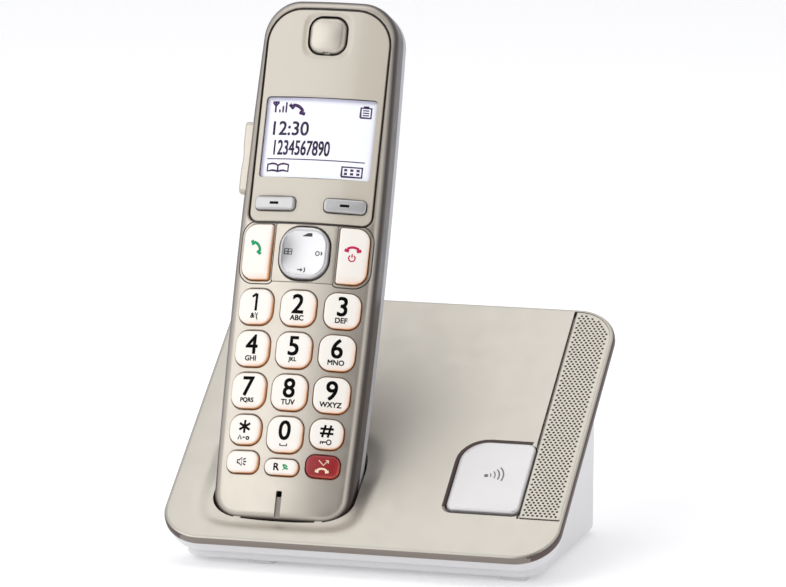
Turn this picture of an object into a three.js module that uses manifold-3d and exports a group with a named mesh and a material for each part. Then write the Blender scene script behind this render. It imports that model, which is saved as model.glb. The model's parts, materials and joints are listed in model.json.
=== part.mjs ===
// A cordless telephone: a slim handset with large keys, standing in a sloped charging base.
// Millimetres, +Z up, the front faces -Y. The origin is under the middle of the whole object.
import * as THREE from "three";
import { mergeVertices } from "three/addons/utils/BufferGeometryUtils.js";
import Module from "manifold-3d";

const wasm = await Module();
wasm.setup();

// ---- clearances ----
const GAP = 0.3; // between two touching pieces
const KEY_GAP = 0.35; // round a key in its hole
const DOCK_GAP = 0.8; // round the handset in its cradle

// ---- handset: x across, y up from its foot, z out of its face, z = 0 at the parting line ----
const HANDSET_LENGTH = 171.5;
const HANDSET_WIDTH = 48; // at the widest, below the display
const FOOT_WIDTH = HANDSET_WIDTH - 2.4;
const TOP_WIDTH = HANDSET_WIDTH - 2.6;
const FOOT_CORNER = 9;
const TOP_CORNER = 14;
const FRONT_DEPTH = 11; // parting line to the crown of the face
const CELL = { radius: 5.25, length: 44.5, y: 59 };
const CELL_MARGIN = 0.5;
const REAR_DEPTH = 2 * CELL.radius + CELL_MARGIN; // parting line to the flat of the back
const CROWN_RADIUS = 95; // across the face
const FACE_EDGE = 3; // rounding between face and sides
const BACK_EDGE = 8.5; // rounding between back and sides
const BACK_END = 5; // rounding between back and foot or head
const CASE_WALL = 2;

// ---- display end ----
const FASCIA_TOP = HANDSET_LENGTH - 3.5;
const FASCIA_LENGTH = 70.4;
const FASCIA_BOTTOM = FASCIA_TOP - FASCIA_LENGTH;
const FASCIA_WIDTH = TOP_WIDTH - 4.8;
const FASCIA_CORNER = 3;
const FASCIA_TOP_CORNER = 13;
const FASCIA_THICK = 0.8;
const FASCIA_SINK = 0.3; // how far the fascia lies below the face
const WINDOW = { x: 0, y: FASCIA_BOTTOM + 28, width: 37.4, height: 26.9, corner: 1.2 };
const WINDOW_SINK = 0.4;
const LCD_GLASS = { width: 34.4, height: 23.6 };
const LCD_FRAME = { width: 39, height: 29, thick: 2 };
const EAR_CAP = { x: 0, y: FASCIA_TOP - 8.4, width: 12, height: 11.8, corner: 3.6 };
const EAR_CAP_RISE = 0.7;
const SOFT_KEY = { x: 11.7, y: FASCIA_BOTTOM + 5.8, width: 13.7, height: 4.3, corner: 1.4 };

// ---- keys ----
const KEY_RISE = 1.1;
const KEY_EDGE = 0.6;
const KEY_FLANGE = 0.5; // how far the flange reaches past the key
const FLANGE_THICK = 0.8;
const KEY_TRAVEL = 0.7;
const DIAL_TOP_ROW = 69.2;
const ROW_PITCH = 13.75;
const COLUMN_PITCH = 14.4;
const COLUMN_TAPER = 0.0225; // the columns close in towards the foot
const DIAL_KEY = { width: 11.7, height: 11.5, corner: 3.6 };
const SYMBOL_KEY = { width: 10.8, height: 9.6, corner: 3.4, y: 29 };
const SPEAKER_KEY = { width: 10.8, height: 7, corner: 2.6, y: 18.5 };
const RECALL_KEY = { width: 11.1, height: 5.1, corner: 2.4, y: 17.4 };
const CALL_KEY = { x: 16, y: 87.2, width: 9.8, height: 18.2, corner: 2.4 };
const NAVIGATOR = { x: 0, y: 87.3, width: 16.3, height: 16.9, corner: 6.2 };
const NAVIGATOR_PLATE = { x: 0, y: 87.3, width: 20.8, height: 19, corner: 1.5 };
const NAVIGATOR_RISE = 1.4;
const NAVIGATOR_LIFT = 0.4; // it rocks this far above the plate
const NAVIGATOR_PIVOT = { radius: 2.2, height: 4.2 };
const SIDE_KEY = { y: FASCIA_BOTTOM + 21.4, length: 24, height: 4.2, rise: 1.7, z: 4.6 };

// ---- inside the handset ----
const BOARD = { z: 2.9, thick: 1.1, bottom: 8, top: HANDSET_LENGTH - 21.5, inset: 2.2 };
const MAT = { z: BOARD.z + BOARD.thick + GAP, thick: 0.6, dome: 2.1, clear: 0.2, bottom: 15.5 };
const CELL_PITCH = 2 * CELL.radius + 0.6;
const BAY = { wall: 0.6, side: 0.5, end: 3 }; // room beside and past the cells
const DOOR = { bottom: 51, top: 111, width: 30, thick: 1.5, corner: 4, ledge: 1.5, ledgeThick: 1.2 };
const TERMINAL = { x: 14, z: 1.5, width: 5, thick: 3.4, height: 1.6, recess: GAP / 2 };
const MICROPHONE = { y: 9.6, radius: 3, height: 2.4 };
const EAR_SPEAKER = { z: 3.4, radius: 9, height: 3.2 };
const RINGER = { y: FASCIA_BOTTOM + 35.4, radius: 11, height: 4 };
const HANDSET_SCREW = { x: 14, y: HANDSET_LENGTH - 21.5, radius: 1.4, head: 2.6, length: 8, boss: 3.6 };

// ---- base: its sloped panel starts at the front edge, y = 0, z = 0 ----
const PANEL_WIDTH = 130.7;
const PANEL_LENGTH = 113;
const PANEL_SLOPE = THREE.MathUtils.degToRad(34.3);
const PANEL_CORNER = 14;
const COVER_THICK = 3.2;
const COVER_EDGE = 0.9;
const SLAB_THICK = 8.4; // cover and the white rim below it
const RIM_INSET = 1.2;
const SHELL_WALL = 2.2;
const FLOOR_WALL = 1.8;
const STAND_INSET = 7.5;
const STAND_FRONT = 7.5;
const STAND_BACK = PANEL_LENGTH * Math.cos(PANEL_SLOPE) - 1.35;
const STAND_HALF = PANEL_WIDTH / 2 - STAND_INSET;
const STAND_CORNER = 12;
const HANDSET_LEAN = THREE.MathUtils.degToRad(69.1);
const CRADLE_LOW = 4.076; // room under the handset's foot; its back corner reaches lower still
const STAND_BOTTOM = -CRADLE_LOW - REAR_DEPTH * Math.cos(HANDSET_LEAN);
const FOOT = { width: 9, depth: 8, height: 1.5, sink: 0.8, corner: 2 };

// ---- cradle ----
const HANDSET_X = HANDSET_WIDTH / 2 + 14 - PANEL_WIDTH / 2;
const FOOT_UP_PANEL = 11; // where the foot's front edge meets the cradle, up the slope
const FOOT_SINK = 2.2; // and below the panel
const FOOT_EDGE_Z = 9;
const CRADLE_WALL = 1.4;
const DISH = { margin: 4.5, depth: 1.6 };
const CHARGE_CONTACT = { width: 3, thick: 1.6, tail: 1.4 };
const FEET = { left: HANDSET_X - 5.65, right: STAND_HALF - 7.85, front: 14, back: STAND_BACK - 12 };

// ---- page key, grille, and what lies under the panel ----
const GRILLE_LEFT = PANEL_WIDTH / 2 - 14.7;
const PAGE_KEY = { y: 34.5, width: 23.8, height: 30.5, corner: 2.6, bigCorner: 9, flange: 0.9 };
PAGE_KEY.x = GRILLE_LEFT - 0.6 - PAGE_KEY.width / 2;
const PAGE_KEY_RISE = 0.7;
const PAGE_KEY_TRAVEL = 0.8;
const GRILLE_BOTTOM = 17.9;
const GRILLE_THICK = 1.2;
const GRILLE_SINK = 0.15;
const SOUND_SLOT = { x: PANEL_WIDTH / 2 - 7.95, bottom: 24, top: PANEL_LENGTH - 15, width: 9 };
const SPEAKER = { x: PANEL_WIDTH / 2 - 27.35, y: 78, radius: 15, height: 7 };
const SWITCH = { width: 6.2, height: 3.4 };
const BASE_BOARD = { x: -14, width: 64, depth: 38, back: STAND_BACK - 4, thick: 1.6 };
const LINE_JACK = { x: -26, width: 15.6, height: 13, depth: 16, mouth: 9.8, mouthHeight: 7 };
const POWER_JACK = { x: -2, width: 9.6, height: 13, depth: 14, bore: 3.2, pin: 1 };
const JACK_Z = 6;
const BASE_SCREW = { x: PANEL_WIDTH / 2 - 17.35, y: 42, radius: 1.5, head: 2.8, length: 6 };

// ---- shapes ----
const ARC = 2; // steps round a small corner
const KEY_ARC = 1; // and round a key's
const SWEEP = 5; // steps round a case corner
const at = (x, y, z) => new THREE.Vector3(x, y, z);

function roundedRect(width, height, radius, bigRadius = radius) {
  const x = width / 2;
  const y = height / 2;
  const shape = new THREE.Shape();
  shape.absarc(x - radius, -y + radius, radius, -Math.PI / 2, 0);
  shape.absarc(x - radius, y - radius, radius, 0, Math.PI / 2);
  shape.absarc(-x + bigRadius, y - bigRadius, bigRadius, Math.PI / 2, Math.PI);
  shape.absarc(-x + radius, -y + radius, radius, Math.PI, 1.5 * Math.PI);
  shape.closePath();
  return shape;
}

function extrude(shape, low, high, bevel = 0, steps = ARC) {
  const geometry = new THREE.ExtrudeGeometry(shape, {
    depth: high - low - 2 * bevel,
    curveSegments: steps,
    bevelEnabled: bevel > 0,
    bevelThickness: bevel,
    bevelSize: bevel,
    bevelOffset: -bevel,
    bevelSegments: Math.ceil(bevel),
  });
  return geometry.translate(0, 0, low + bevel);
}

function disc(radius, low, high, sides = 16) {
  const geometry = new THREE.CylinderGeometry(radius, radius, high - low, sides);
  return geometry.rotateX(Math.PI / 2).translate(0, 0, (low + high) / 2);
}

function box(width, depth, height, x, y, z) {
  return new THREE.BoxGeometry(width, depth, height).translate(x, y, z);
}

function solid(geometry) {
  const bare = geometry.clone();
  bare.deleteAttribute("normal");
  bare.deleteAttribute("uv");
  const merged = mergeVertices(bare, 1e-4);
  const vertProperties = new Float32Array(merged.attributes.position.array);
  const triVerts = new Uint32Array(merged.index.array);
  return new wasm.Manifold(new wasm.Mesh({ numProp: 3, vertProperties, triVerts }));
}

function geometryOf(body) {
  const made = body.getMesh();
  const geometry = new THREE.BufferGeometry();
  geometry.setAttribute("position", new THREE.BufferAttribute(made.vertProperties, 3));
  geometry.setIndex(new THREE.BufferAttribute(made.triVerts, 1));
  geometry.computeVertexNormals();
  return geometry;
}

const join = (...bodies) => bodies.reduce((sum, body) => sum.add(body));
const without = (body, ...tools) => tools.reduce((rest, tool) => rest.subtract(tool), body);

function material(color, roughness, metalness = 0) {
  return new THREE.MeshStandardMaterial({ color, roughness, metalness });
}

const phone = new THREE.Group();
const handset = new THREE.Group();
const panel = new THREE.Group();
phone.add(handset, panel);

function place(group, name, shape, look) {
  const geometry = shape.isBufferGeometry ? shape : geometryOf(shape);
  const mesh = new THREE.Mesh(geometry, look);
  mesh.name = name;
  group.add(mesh);
  return mesh;
}

// Where the panel and the handset lie. The foot's front edge sits just below the panel.
panel.rotation.x = PANEL_SLOPE;
handset.rotation.x = HANDSET_LEAN;
const footEdge = at(HANDSET_X, FOOT_UP_PANEL, -FOOT_SINK).applyEuler(panel.rotation);
const edgeOffset = at(0, 0, FOOT_EDGE_Z).applyEuler(handset.rotation);
handset.position.copy(footEdge.sub(edgeOffset));
phone.updateMatrixWorld(true);
const handsetToPanel = panel.matrixWorld.clone().invert().multiply(handset.matrixWorld);

// ---- handset case ----
// The outline is a long barrel: rounded foot and head, sides bowed by a curve.
function handsetOutline(inset) {
  const foot = FOOT_WIDTH / 2 - inset;
  const head = TOP_WIDTH / 2 - inset;
  const bow = HANDSET_WIDTH - inset * 2 - (foot + head) / 2;
  const low = inset;
  const high = HANDSET_LENGTH - inset;
  const footCorner = FOOT_CORNER - inset;
  const headCorner = TOP_CORNER - inset;
  const middle = HANDSET_LENGTH * 0.55;
  const shape = new THREE.Shape();
  shape.moveTo(-foot + footCorner, low);
  shape.lineTo(foot - footCorner, low);
  shape.quadraticCurveTo(foot, low, foot, low + footCorner);
  shape.quadraticCurveTo(bow, middle, head, high - headCorner);
  shape.quadraticCurveTo(head, high - 1, head - headCorner, high - 0.5);
  shape.quadraticCurveTo(0, high + 0.5, -head + headCorner, high - 0.5);
  shape.quadraticCurveTo(-head, high - 1, -head, high - headCorner);
  shape.quadraticCurveTo(-bow, middle, -foot, low + footCorner);
  shape.quadraticCurveTo(-foot, low, -foot + footCorner, low);
  return shape;
}

// Everything closer to the crown's axis than the face, less a depth: a long cylinder.
const CROWN_SIDES = 72;
function underCrown(depth) {
  const radius = (CROWN_RADIUS - depth) / Math.cos(Math.PI / CROWN_SIDES);
  const long = HANDSET_LENGTH + 40;
  const tube = new THREE.CylinderGeometry(radius, radius, long, CROWN_SIDES);
  return solid(tube.translate(0, HANDSET_LENGTH / 2, FRONT_DEPTH - CROWN_RADIUS));
}
const crownDrop = (x) => CROWN_RADIUS - Math.sqrt(CROWN_RADIUS ** 2 - x ** 2);
const tiltAt = (x) => Math.asin(x / CROWN_RADIUS);

// A shape standing on the face at x, y: turned with the crown, z measured from the face.
function onFace(geometry, x, y) {
  geometry.rotateY(tiltAt(x));
  return geometry.translate(x, y, FRONT_DEPTH - crownDrop(x));
}

function keyShape(key, grow = 0) {
  return roundedRect(key.width + 2 * grow, key.height + 2 * grow, key.corner + grow);
}

function fasciaOutline(grow) {
  const half = FASCIA_WIDTH / 2 + grow;
  const low = FASCIA_BOTTOM - grow;
  const high = FASCIA_TOP + grow;
  const corner = FASCIA_CORNER + grow;
  const topCorner = FASCIA_TOP_CORNER + grow;
  const shape = new THREE.Shape();
  shape.moveTo(-half + corner, low);
  shape.lineTo(half - corner, low);
  shape.quadraticCurveTo(half, low, half, low + corner);
  shape.lineTo(half - 0.6, high - topCorner);
  shape.quadraticCurveTo(half - 0.6, high - 0.6, half - topCorner, high - 0.3);
  shape.quadraticCurveTo(0, high + 0.3, -half + topCorner, high - 0.3);
  shape.quadraticCurveTo(-half + 0.6, high - 0.6, -half + 0.6, high - topCorner);
  shape.lineTo(-half, low + corner);
  shape.quadraticCurveTo(-half, low, -half + corner, low);
  return shape;
}

// A prism over a flat outline, from deep in the case to above the face.
const throughFace = (shape, x = 0, y = 0, steps = ARC) =>
  solid(extrude(shape, -1, FRONT_DEPTH + 5, 0, steps).translate(x, y, 0));

// The keys: name, centre, size. Columns close in towards the foot.
const columnAt = (y) => COLUMN_PITCH - (DIAL_TOP_ROW - y) * COLUMN_TAPER;
const keys = [];
function addKey(name, column, y, size, color, roughness) {
  keys.push({ name, x: column * columnAt(y), y, size, color, roughness });
}
const KEY_WHITE = 0xfbf7ef;
const KEY_RED = 0xb3262b;
const dialNames = ["key_1", "key_2", "key_3", "key_4", "key_5", "key_6", "key_7", "key_8", "key_9"];
dialNames.forEach((name, i) => {
  const row = Math.floor(i / 3);
  addKey(name, (i % 3) - 1, DIAL_TOP_ROW - row * ROW_PITCH, DIAL_KEY, KEY_WHITE, 0.4);
});
addKey("key_star", -1, SYMBOL_KEY.y, SYMBOL_KEY, KEY_WHITE, 0.4);
addKey("key_0", 0, DIAL_TOP_ROW - 3 * ROW_PITCH, DIAL_KEY, KEY_WHITE, 0.4);
addKey("key_hash", 1, SYMBOL_KEY.y, SYMBOL_KEY, KEY_WHITE, 0.4);
addKey("speakerphone_key", -1, SPEAKER_KEY.y, SPEAKER_KEY, KEY_WHITE, 0.4);
addKey("recall_key", 0, RECALL_KEY.y, RECALL_KEY, KEY_WHITE, 0.4);
addKey("call_block_key", 1, SPEAKER_KEY.y, SPEAKER_KEY, KEY_RED, 0.4);
for (const [name, side] of [["talk_key", -1], ["off_key", 1]]) {
  const x = side * CALL_KEY.x;
  keys.push({ name, x, y: CALL_KEY.y, size: CALL_KEY, color: 0xf4f0ea, roughness: 0.35 });
}

// Each key: a plug through the face and a flange behind it that keeps it in.
function keyBody(key) {
  const low = -CASE_WALL - GAP - FLANGE_THICK;
  const plug = extrude(keyShape(key.size), low + FLANGE_THICK / 2, KEY_RISE, KEY_EDGE, KEY_ARC);
  const flange = extrude(keyShape(key.size, KEY_FLANGE), low, low + FLANGE_THICK, 0, KEY_ARC);
  return onFace(geometryOf(join(solid(plug), solid(flange))), key.x, key.y);
}

function keyHole(key) {
  const hole = extrude(keyShape(key.size, KEY_GAP), -6, 6, 0, KEY_ARC);
  return solid(onFace(hole, key.x, key.y));
}

// Front case: barrel, crowned across, rounded at its edge, hollow from behind.
const faceBarrel = extrude(handsetOutline(0), -20, FRONT_DEPTH + 1, FACE_EDGE, SWEEP);
const belowParting = box(120, 400, 60, 0, 100, -30);
const roundedFace = solid(faceBarrel).translate([0, 0, -1]);
const frontOuter = without(roundedFace.intersect(underCrown(0)), solid(belowParting));
const innerPrism = throughFace(handsetOutline(CASE_WALL), 0, 0, SWEEP);
const frontInner = innerPrism.intersect(underCrown(CASE_WALL));
const fasciaRecess = throughFace(fasciaOutline(GAP)).subtract(
  underCrown(FASCIA_SINK + FASCIA_THICK + GAP),
);
const lcdOpening = throughFace(
  roundedRect(LCD_GLASS.width + 2 * GAP, LCD_GLASS.height + 2 * GAP, 0.5),
  WINDOW.x,
  WINDOW.y,
);
const plateHole = throughFace(keyShape(NAVIGATOR_PLATE, GAP), NAVIGATOR.x, NAVIGATOR.y);
const capHole = throughFace(keyShape(EAR_CAP, GAP), EAR_CAP.x, EAR_CAP.y);
const softKeys = [-1, 1].map((side) => ({
  name: side < 0 ? "softkey_left" : "softkey_right",
  x: side * SOFT_KEY.x,
  y: SOFT_KEY.y,
  size: SOFT_KEY,
  color: 0x9b9893,
  roughness: 0.35,
}));
const sideSlot = solid(
  box(8, SIDE_KEY.length + 2 * KEY_GAP, SIDE_KEY.height + 2 * KEY_GAP, 0, 0, 0).translate(
    -HANDSET_WIDTH / 2,
    SIDE_KEY.y,
    SIDE_KEY.z,
  ),
);
const terminalSlots = [-1, 1].map((side) => {
  const { width, thick, z, height } = TERMINAL;
  return solid(
    box(width + 2 * GAP, height * 2 + 2, thick + 2 * GAP, side * TERMINAL.x, height, z),
  );
});
const micSlot = solid(box(1.6, 7.5, 4, 0, 6.4, FRONT_DEPTH + 1));
const micHole = solid(box(1.6, 1.6, 12, 0, MICROPHONE.y, FRONT_DEPTH - 3));
const frontCase = without(
  frontOuter,
  frontInner,
  fasciaRecess,
  lcdOpening,
  plateHole,
  capHole,
  sideSlot,
  micSlot,
  micHole,
  ...terminalSlots,
  ...keys.map(keyHole),
  ...softKeys.map(keyHole),
);
place(handset, "front_case", frontCase, material(0xcfc8bd, 0.38, 0.3));

// Rear case: the same barrel with a fully rounded back, a battery bay and two screw bosses.
// The back is the outline cut by two rounded profiles, one across and one along.
const PROFILE_HIGH = 80;
function backForm(inset) {
  const low = -REAR_DEPTH + inset;
  const middle = low + PROFILE_HIGH / 2;
  const across = roundedRect(HANDSET_WIDTH - 2 * inset, PROFILE_HIGH, BACK_EDGE - inset);
  const along = roundedRect(HANDSET_LENGTH - 2 * inset, PROFILE_HIGH, BACK_END - inset);
  const bar = extrude(across, -10, HANDSET_LENGTH + 10, 0, SWEEP).rotateX(-Math.PI / 2);
  const slice = extrude(along, -40, 40).rotateY(Math.PI / 2).rotateX(Math.PI / 2);
  const outline = extrude(handsetOutline(inset), -REAR_DEPTH - 1, 30, 0, SWEEP);
  return solid(outline)
    .intersect(solid(bar.translate(0, 0, middle)))
    .intersect(solid(slice.translate(0, HANDSET_LENGTH / 2, middle)));
}
const backBarrel = backForm(0);
const aboveParting = box(120, 400, 60, 0, 100, 30 - GAP);
const rearOuter = without(backBarrel, solid(aboveParting));
const backHollow = backForm(CASE_WALL);
const doorMiddle = (DOOR.bottom + DOOR.top) / 2;
const doorLength = DOOR.top - DOOR.bottom;
const bayWidth = CELL_PITCH + 2 * CELL.radius + 2 * GAP + 2 * BAY.side;
const bayLength = CELL.length + 2 * BAY.end;
const bayMiddle = CELL.y + CELL.length / 2;
const bayTop = -REAR_DEPTH + DOOR.thick + GAP + 2 * CELL.radius + 2 * GAP;
// A box over the bay's outline, grown by a wall, between two heights.
function bayForm(grow, low, high) {
  const height = high - low;
  const middle = (low + high) / 2;
  return solid(box(bayWidth + 2 * grow, bayLength + 2 * grow, height, 0, bayMiddle, middle));
}
const bayOuter = bayForm(BAY.wall, -REAR_DEPTH + CASE_WALL / 2, bayTop + BAY.wall);
const bayInner = bayForm(0, -REAR_DEPTH - CASE_WALL, bayTop);
const doorShape = (grow) =>
  roundedRect(DOOR.width + 2 * grow, doorLength + 2 * grow, DOOR.corner + grow);
const doorForm = (grow, low, high) =>
  solid(extrude(doorShape(grow), low, high).translate(0, doorMiddle, 0));
const ledgeLow = -REAR_DEPTH + DOOR.thick + GAP;
const doorRecess = doorForm(GAP, -REAR_DEPTH - 4, ledgeLow);
const doorLedge = doorForm(DOOR.ledge, -REAR_DEPTH + 1, ledgeLow + DOOR.ledgeThick);
const screwPlaces = [-1, 1].map((side) => at(side * HANDSET_SCREW.x, HANDSET_SCREW.y, 0));
const screwTop = -REAR_DEPTH + 1 + HANDSET_SCREW.length;
const screwHeadTop = -REAR_DEPTH + 3.5;
const standing = (radius, low, high, p, sides = 16) =>
  solid(disc(radius, low, high, sides).translate(p.x, p.y, 0));
const bosses = screwPlaces.map((p) => standing(HANDSET_SCREW.boss, -REAR_DEPTH + 1, screwTop, p));
const screwHoles = screwPlaces.flatMap((p) => [
  standing(HANDSET_SCREW.head + GAP, -REAR_DEPTH - 2, screwHeadTop, p),
  standing(HANDSET_SCREW.radius + GAP, -REAR_DEPTH, screwTop + 1, p, 12),
]);
const rearShell = without(rearOuter, backHollow);
const ledge = doorLedge.intersect(rearOuter);
const rearCase = without(
  join(rearShell, ledge, bayOuter, ...bosses.map((boss) => boss.intersect(rearOuter))),
  bayInner,
  doorRecess,
  ...screwHoles,
  ...terminalSlots,
);
place(handset, "rear_case", rearCase, material(0xd6d6d9, 0.45));

for (const [i, p] of screwPlaces.entries()) {
  const low = -REAR_DEPTH + 1.4;
  const head = solid(disc(HANDSET_SCREW.head, low, low + 1.8, 16));
  const shank = solid(disc(HANDSET_SCREW.radius, low, low + HANDSET_SCREW.length - 1.2, 12));
  const cross = solid(box(3, 0.7, 1.2, 0, 0, low));
  const screw = join(head, shank).subtract(cross).translate([p.x, p.y, 0]);
  place(handset, i ? "handset_screw_right" : "handset_screw_left", screw, material(0x8d8f92, 0.35, 1));
}

// Battery door: a plate that follows the back, with a thumb ridge. It lifts off the bay.
const doorPlate = solid(
  extrude(doorShape(0), -REAR_DEPTH - 1, -REAR_DEPTH + DOOR.thick).translate(0, doorMiddle, 0),
).intersect(backBarrel);
const ridge = solid(box(12, 1.6, 1, 0, DOOR.top - 8, -REAR_DEPTH + 0.2));
place(handset, "battery_door", join(doorPlate, ridge), material(0xd2d2d6, 0.5));

// Cells, end strips, board, keypad mat, transducers.
const cellZ = -REAR_DEPTH + DOOR.thick + GAP + GAP + CELL.radius;
for (const [i, side] of [-1, 1].entries()) {
  const body = solid(disc(CELL.radius, 0, CELL.length - 1, 18));
  const nub = solid(disc(1.9, CELL.length - 1.5, CELL.length, 12));
  const cell = join(body, nub).rotate([i ? 90 : -90, 0, 0]);
  const start = i ? CELL.y + CELL.length : CELL.y;
  place(
    handset,
    "battery_cell_" + (i + 1),
    cell.translate([(side * CELL_PITCH) / 2, start, cellZ]),
    material(0x3f7f5a, 0.4, 0.2),
  );
}
const stripSize = { width: bayWidth - 1, thick: 0.6, height: 7 };
place(
  handset,
  "battery_strip_lower",
  box(stripSize.width, stripSize.thick, stripSize.height, 0, CELL.y - 1.6, cellZ),
  material(0xc9c6bd, 0.3, 1),
);
place(
  handset,
  "battery_strip_upper",
  box(stripSize.width, stripSize.thick, stripSize.height, 0, CELL.y + CELL.length + 1.6, cellZ),
  material(0xc9c6bd, 0.3, 1),
);

const boardOutline = handsetOutline(CASE_WALL + BOARD.inset);
const boardBand = solid(box(60, BOARD.top - BOARD.bottom, 20, 0, (BOARD.top + BOARD.bottom) / 2, 0));
const board = solid(extrude(boardOutline, BOARD.z, BOARD.z + BOARD.thick)).intersect(boardBand);
place(handset, "handset_board", board, material(0x2f6b45, 0.5));

const matTop = SOFT_KEY.y + SOFT_KEY.height;
const matBand = solid(box(60, matTop - MAT.bottom, 20, 0, (matTop + MAT.bottom) / 2, 0));
const matPlate = solid(extrude(boardOutline, MAT.z, MAT.z + MAT.thick)).intersect(matBand);
const domes = [...softKeys, ...keys].map((key) => {
  const low = -CASE_WALL - GAP - FLANGE_THICK;
  const lean = MAT.dome * Math.tan(Math.abs(tiltAt(key.x)));
  const top = FRONT_DEPTH - crownDrop(key.x) + low - KEY_TRAVEL - lean - MAT.clear;
  return solid(disc(MAT.dome, MAT.z + 0.1, top, 6).translate(key.x, key.y, 0));
});
place(handset, "keypad_mat", join(matPlate, ...domes), material(0xe9e6df, 0.8));

const overBoard = BOARD.z + BOARD.thick + GAP;
const microphone = disc(MICROPHONE.radius, overBoard, overBoard + MICROPHONE.height, 14);
microphone.translate(0, MICROPHONE.y + 2, 0);
place(handset, "microphone", microphone, material(0x6f7073, 0.5, 0.6));
const earSpeaker = disc(EAR_SPEAKER.radius, EAR_SPEAKER.z, EAR_SPEAKER.z + EAR_SPEAKER.height, 20);
earSpeaker.translate(EAR_CAP.x, EAR_CAP.y - 0.6, 0);
place(handset, "earpiece_speaker", earSpeaker, material(0x5d5e61, 0.5, 0.4));
place(
  handset,
  "ringer_speaker",
  disc(RINGER.radius, BOARD.z - GAP - RINGER.height, BOARD.z - GAP, 20).translate(0, RINGER.y, 0),
  material(0x5d5e61, 0.5, 0.4),
);
for (const side of [-1, 1]) {
  const { width, thick, height, z, recess } = TERMINAL;
  place(
    handset,
    side < 0 ? "charge_terminal_left" : "charge_terminal_right",
    box(width, height, thick, side * TERMINAL.x, height / 2 + recess, z),
    material(0xd9d4c4, 0.25, 1),
  );
}

// ---- display end ----
const fasciaShell = throughFace(fasciaOutline(0))
  .intersect(underCrown(FASCIA_SINK))
  .subtract(underCrown(FASCIA_SINK + FASCIA_THICK));
const windowShape = (grow) =>
  roundedRect(WINDOW.width + 2 * grow, WINDOW.height + 2 * grow, WINDOW.corner + grow);
const fascia = without(
  fasciaShell,
  throughFace(windowShape(GAP / 2), WINDOW.x, WINDOW.y),
  capHole,
  ...softKeys.map(keyHole),
);
place(handset, "display_fascia", fascia, material(0xd8d0c4, 0.22, 0.35));

const windowPane = throughFace(windowShape(-GAP / 2), WINDOW.x, WINDOW.y)
  .intersect(underCrown(WINDOW_SINK))
  .subtract(underCrown(FASCIA_SINK + FASCIA_THICK));
place(handset, "display_window", windowPane, material(0xf2f3f6, 0.05));

const lcdEdge = FRONT_DEPTH - crownDrop(LCD_GLASS.width / 2);
const lcdTop = lcdEdge - FASCIA_SINK - FASCIA_THICK - 2 * GAP;
const lcdLayer = ({ width, height }, top) => {
  const middle = (top + overBoard) / 2;
  return solid(box(width, height, top - overBoard, WINDOW.x, WINDOW.y, middle));
};
const lcd = join(lcdLayer(LCD_FRAME, overBoard + LCD_FRAME.thick), lcdLayer(LCD_GLASS, lcdTop));
place(handset, "lcd_module", lcd, material(0xf1f2f8, 0.3));

const capTop = FRONT_DEPTH + EAR_CAP_RISE;
const capLow = FRONT_DEPTH - CASE_WALL - 1;
const earCap = extrude(keyShape(EAR_CAP), capLow, capTop, 1.2).translate(EAR_CAP.x, EAR_CAP.y, 0);
const capSlot = solid(box(3.2, 1.6, 8, EAR_CAP.x, EAR_CAP.y - EAR_CAP.height / 2 + 0.6, capTop));
place(handset, "earpiece_cap", solid(earCap).subtract(capSlot), material(0xc9c3b8, 0.35, 0.4));

for (const key of [...softKeys, ...keys]) {
  place(handset, key.name, keyBody(key), material(key.color, key.roughness));
}

// ---- navigator: a rounded square that rocks on a post, just above a flush plate ----
const navigatorHole = throughFace(keyShape(NAVIGATOR, KEY_GAP + 0.15), NAVIGATOR.x, NAVIGATOR.y);
const plate = throughFace(keyShape(NAVIGATOR_PLATE), NAVIGATOR.x, NAVIGATOR.y)
  .intersect(underCrown(0.1))
  .subtract(underCrown(CASE_WALL))
  .subtract(navigatorHole);
place(handset, "navigator_plate", plate, material(0xd9d3c8, 0.35, 0.2));
const navigatorLow = FRONT_DEPTH + NAVIGATOR_LIFT;
const navigatorTop = FRONT_DEPTH + NAVIGATOR_RISE;
const navigatorEdge = (navigatorTop - navigatorLow) * 0.4;
const navigatorKey = extrude(keyShape(NAVIGATOR), navigatorLow, navigatorTop, navigatorEdge);
place(
  handset,
  "navigator_key",
  navigatorKey.translate(NAVIGATOR.x, NAVIGATOR.y, 0),
  material(0xe6e4e2, 0.3, 0.3),
);
const pivotTop = navigatorLow - GAP;
place(
  handset,
  "navigator_pivot",
  disc(NAVIGATOR_PIVOT.radius, pivotTop - NAVIGATOR_PIVOT.height, pivotTop, 12)
    .translate(NAVIGATOR.x, NAVIGATOR.y, 0),
  material(0xdedbd4, 0.5),
);

// ---- side volume rocker ----
const rockerInner = -HANDSET_WIDTH / 2 + CASE_WALL + 0.8;
const rockerOuter = -HANDSET_WIDTH / 2 - SIDE_KEY.rise;
const rocker = extrude(
  roundedRect(SIDE_KEY.length, SIDE_KEY.height, 1.6),
  0,
  rockerInner - rockerOuter,
  0.8,
)
  .rotateZ(Math.PI / 2)
  .rotateY(Math.PI / 2)
  .translate(rockerOuter, SIDE_KEY.y, SIDE_KEY.z);
place(handset, "volume_key", rocker, material(0xbdb8b0, 0.4, 0.2));

// ---- base: top cover with cradle ----
// In the panel's own frame: x across, y up the slope, z out of the panel.
function panelPlate(inset, low, high, bevel) {
  const shape = roundedRect(
    PANEL_WIDTH - 2 * inset,
    PANEL_LENGTH - 2 * inset,
    PANEL_CORNER - inset,
  );
  return extrude(shape, low, high, bevel, SWEEP).translate(0, PANEL_LENGTH / 2, 0);
}

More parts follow.
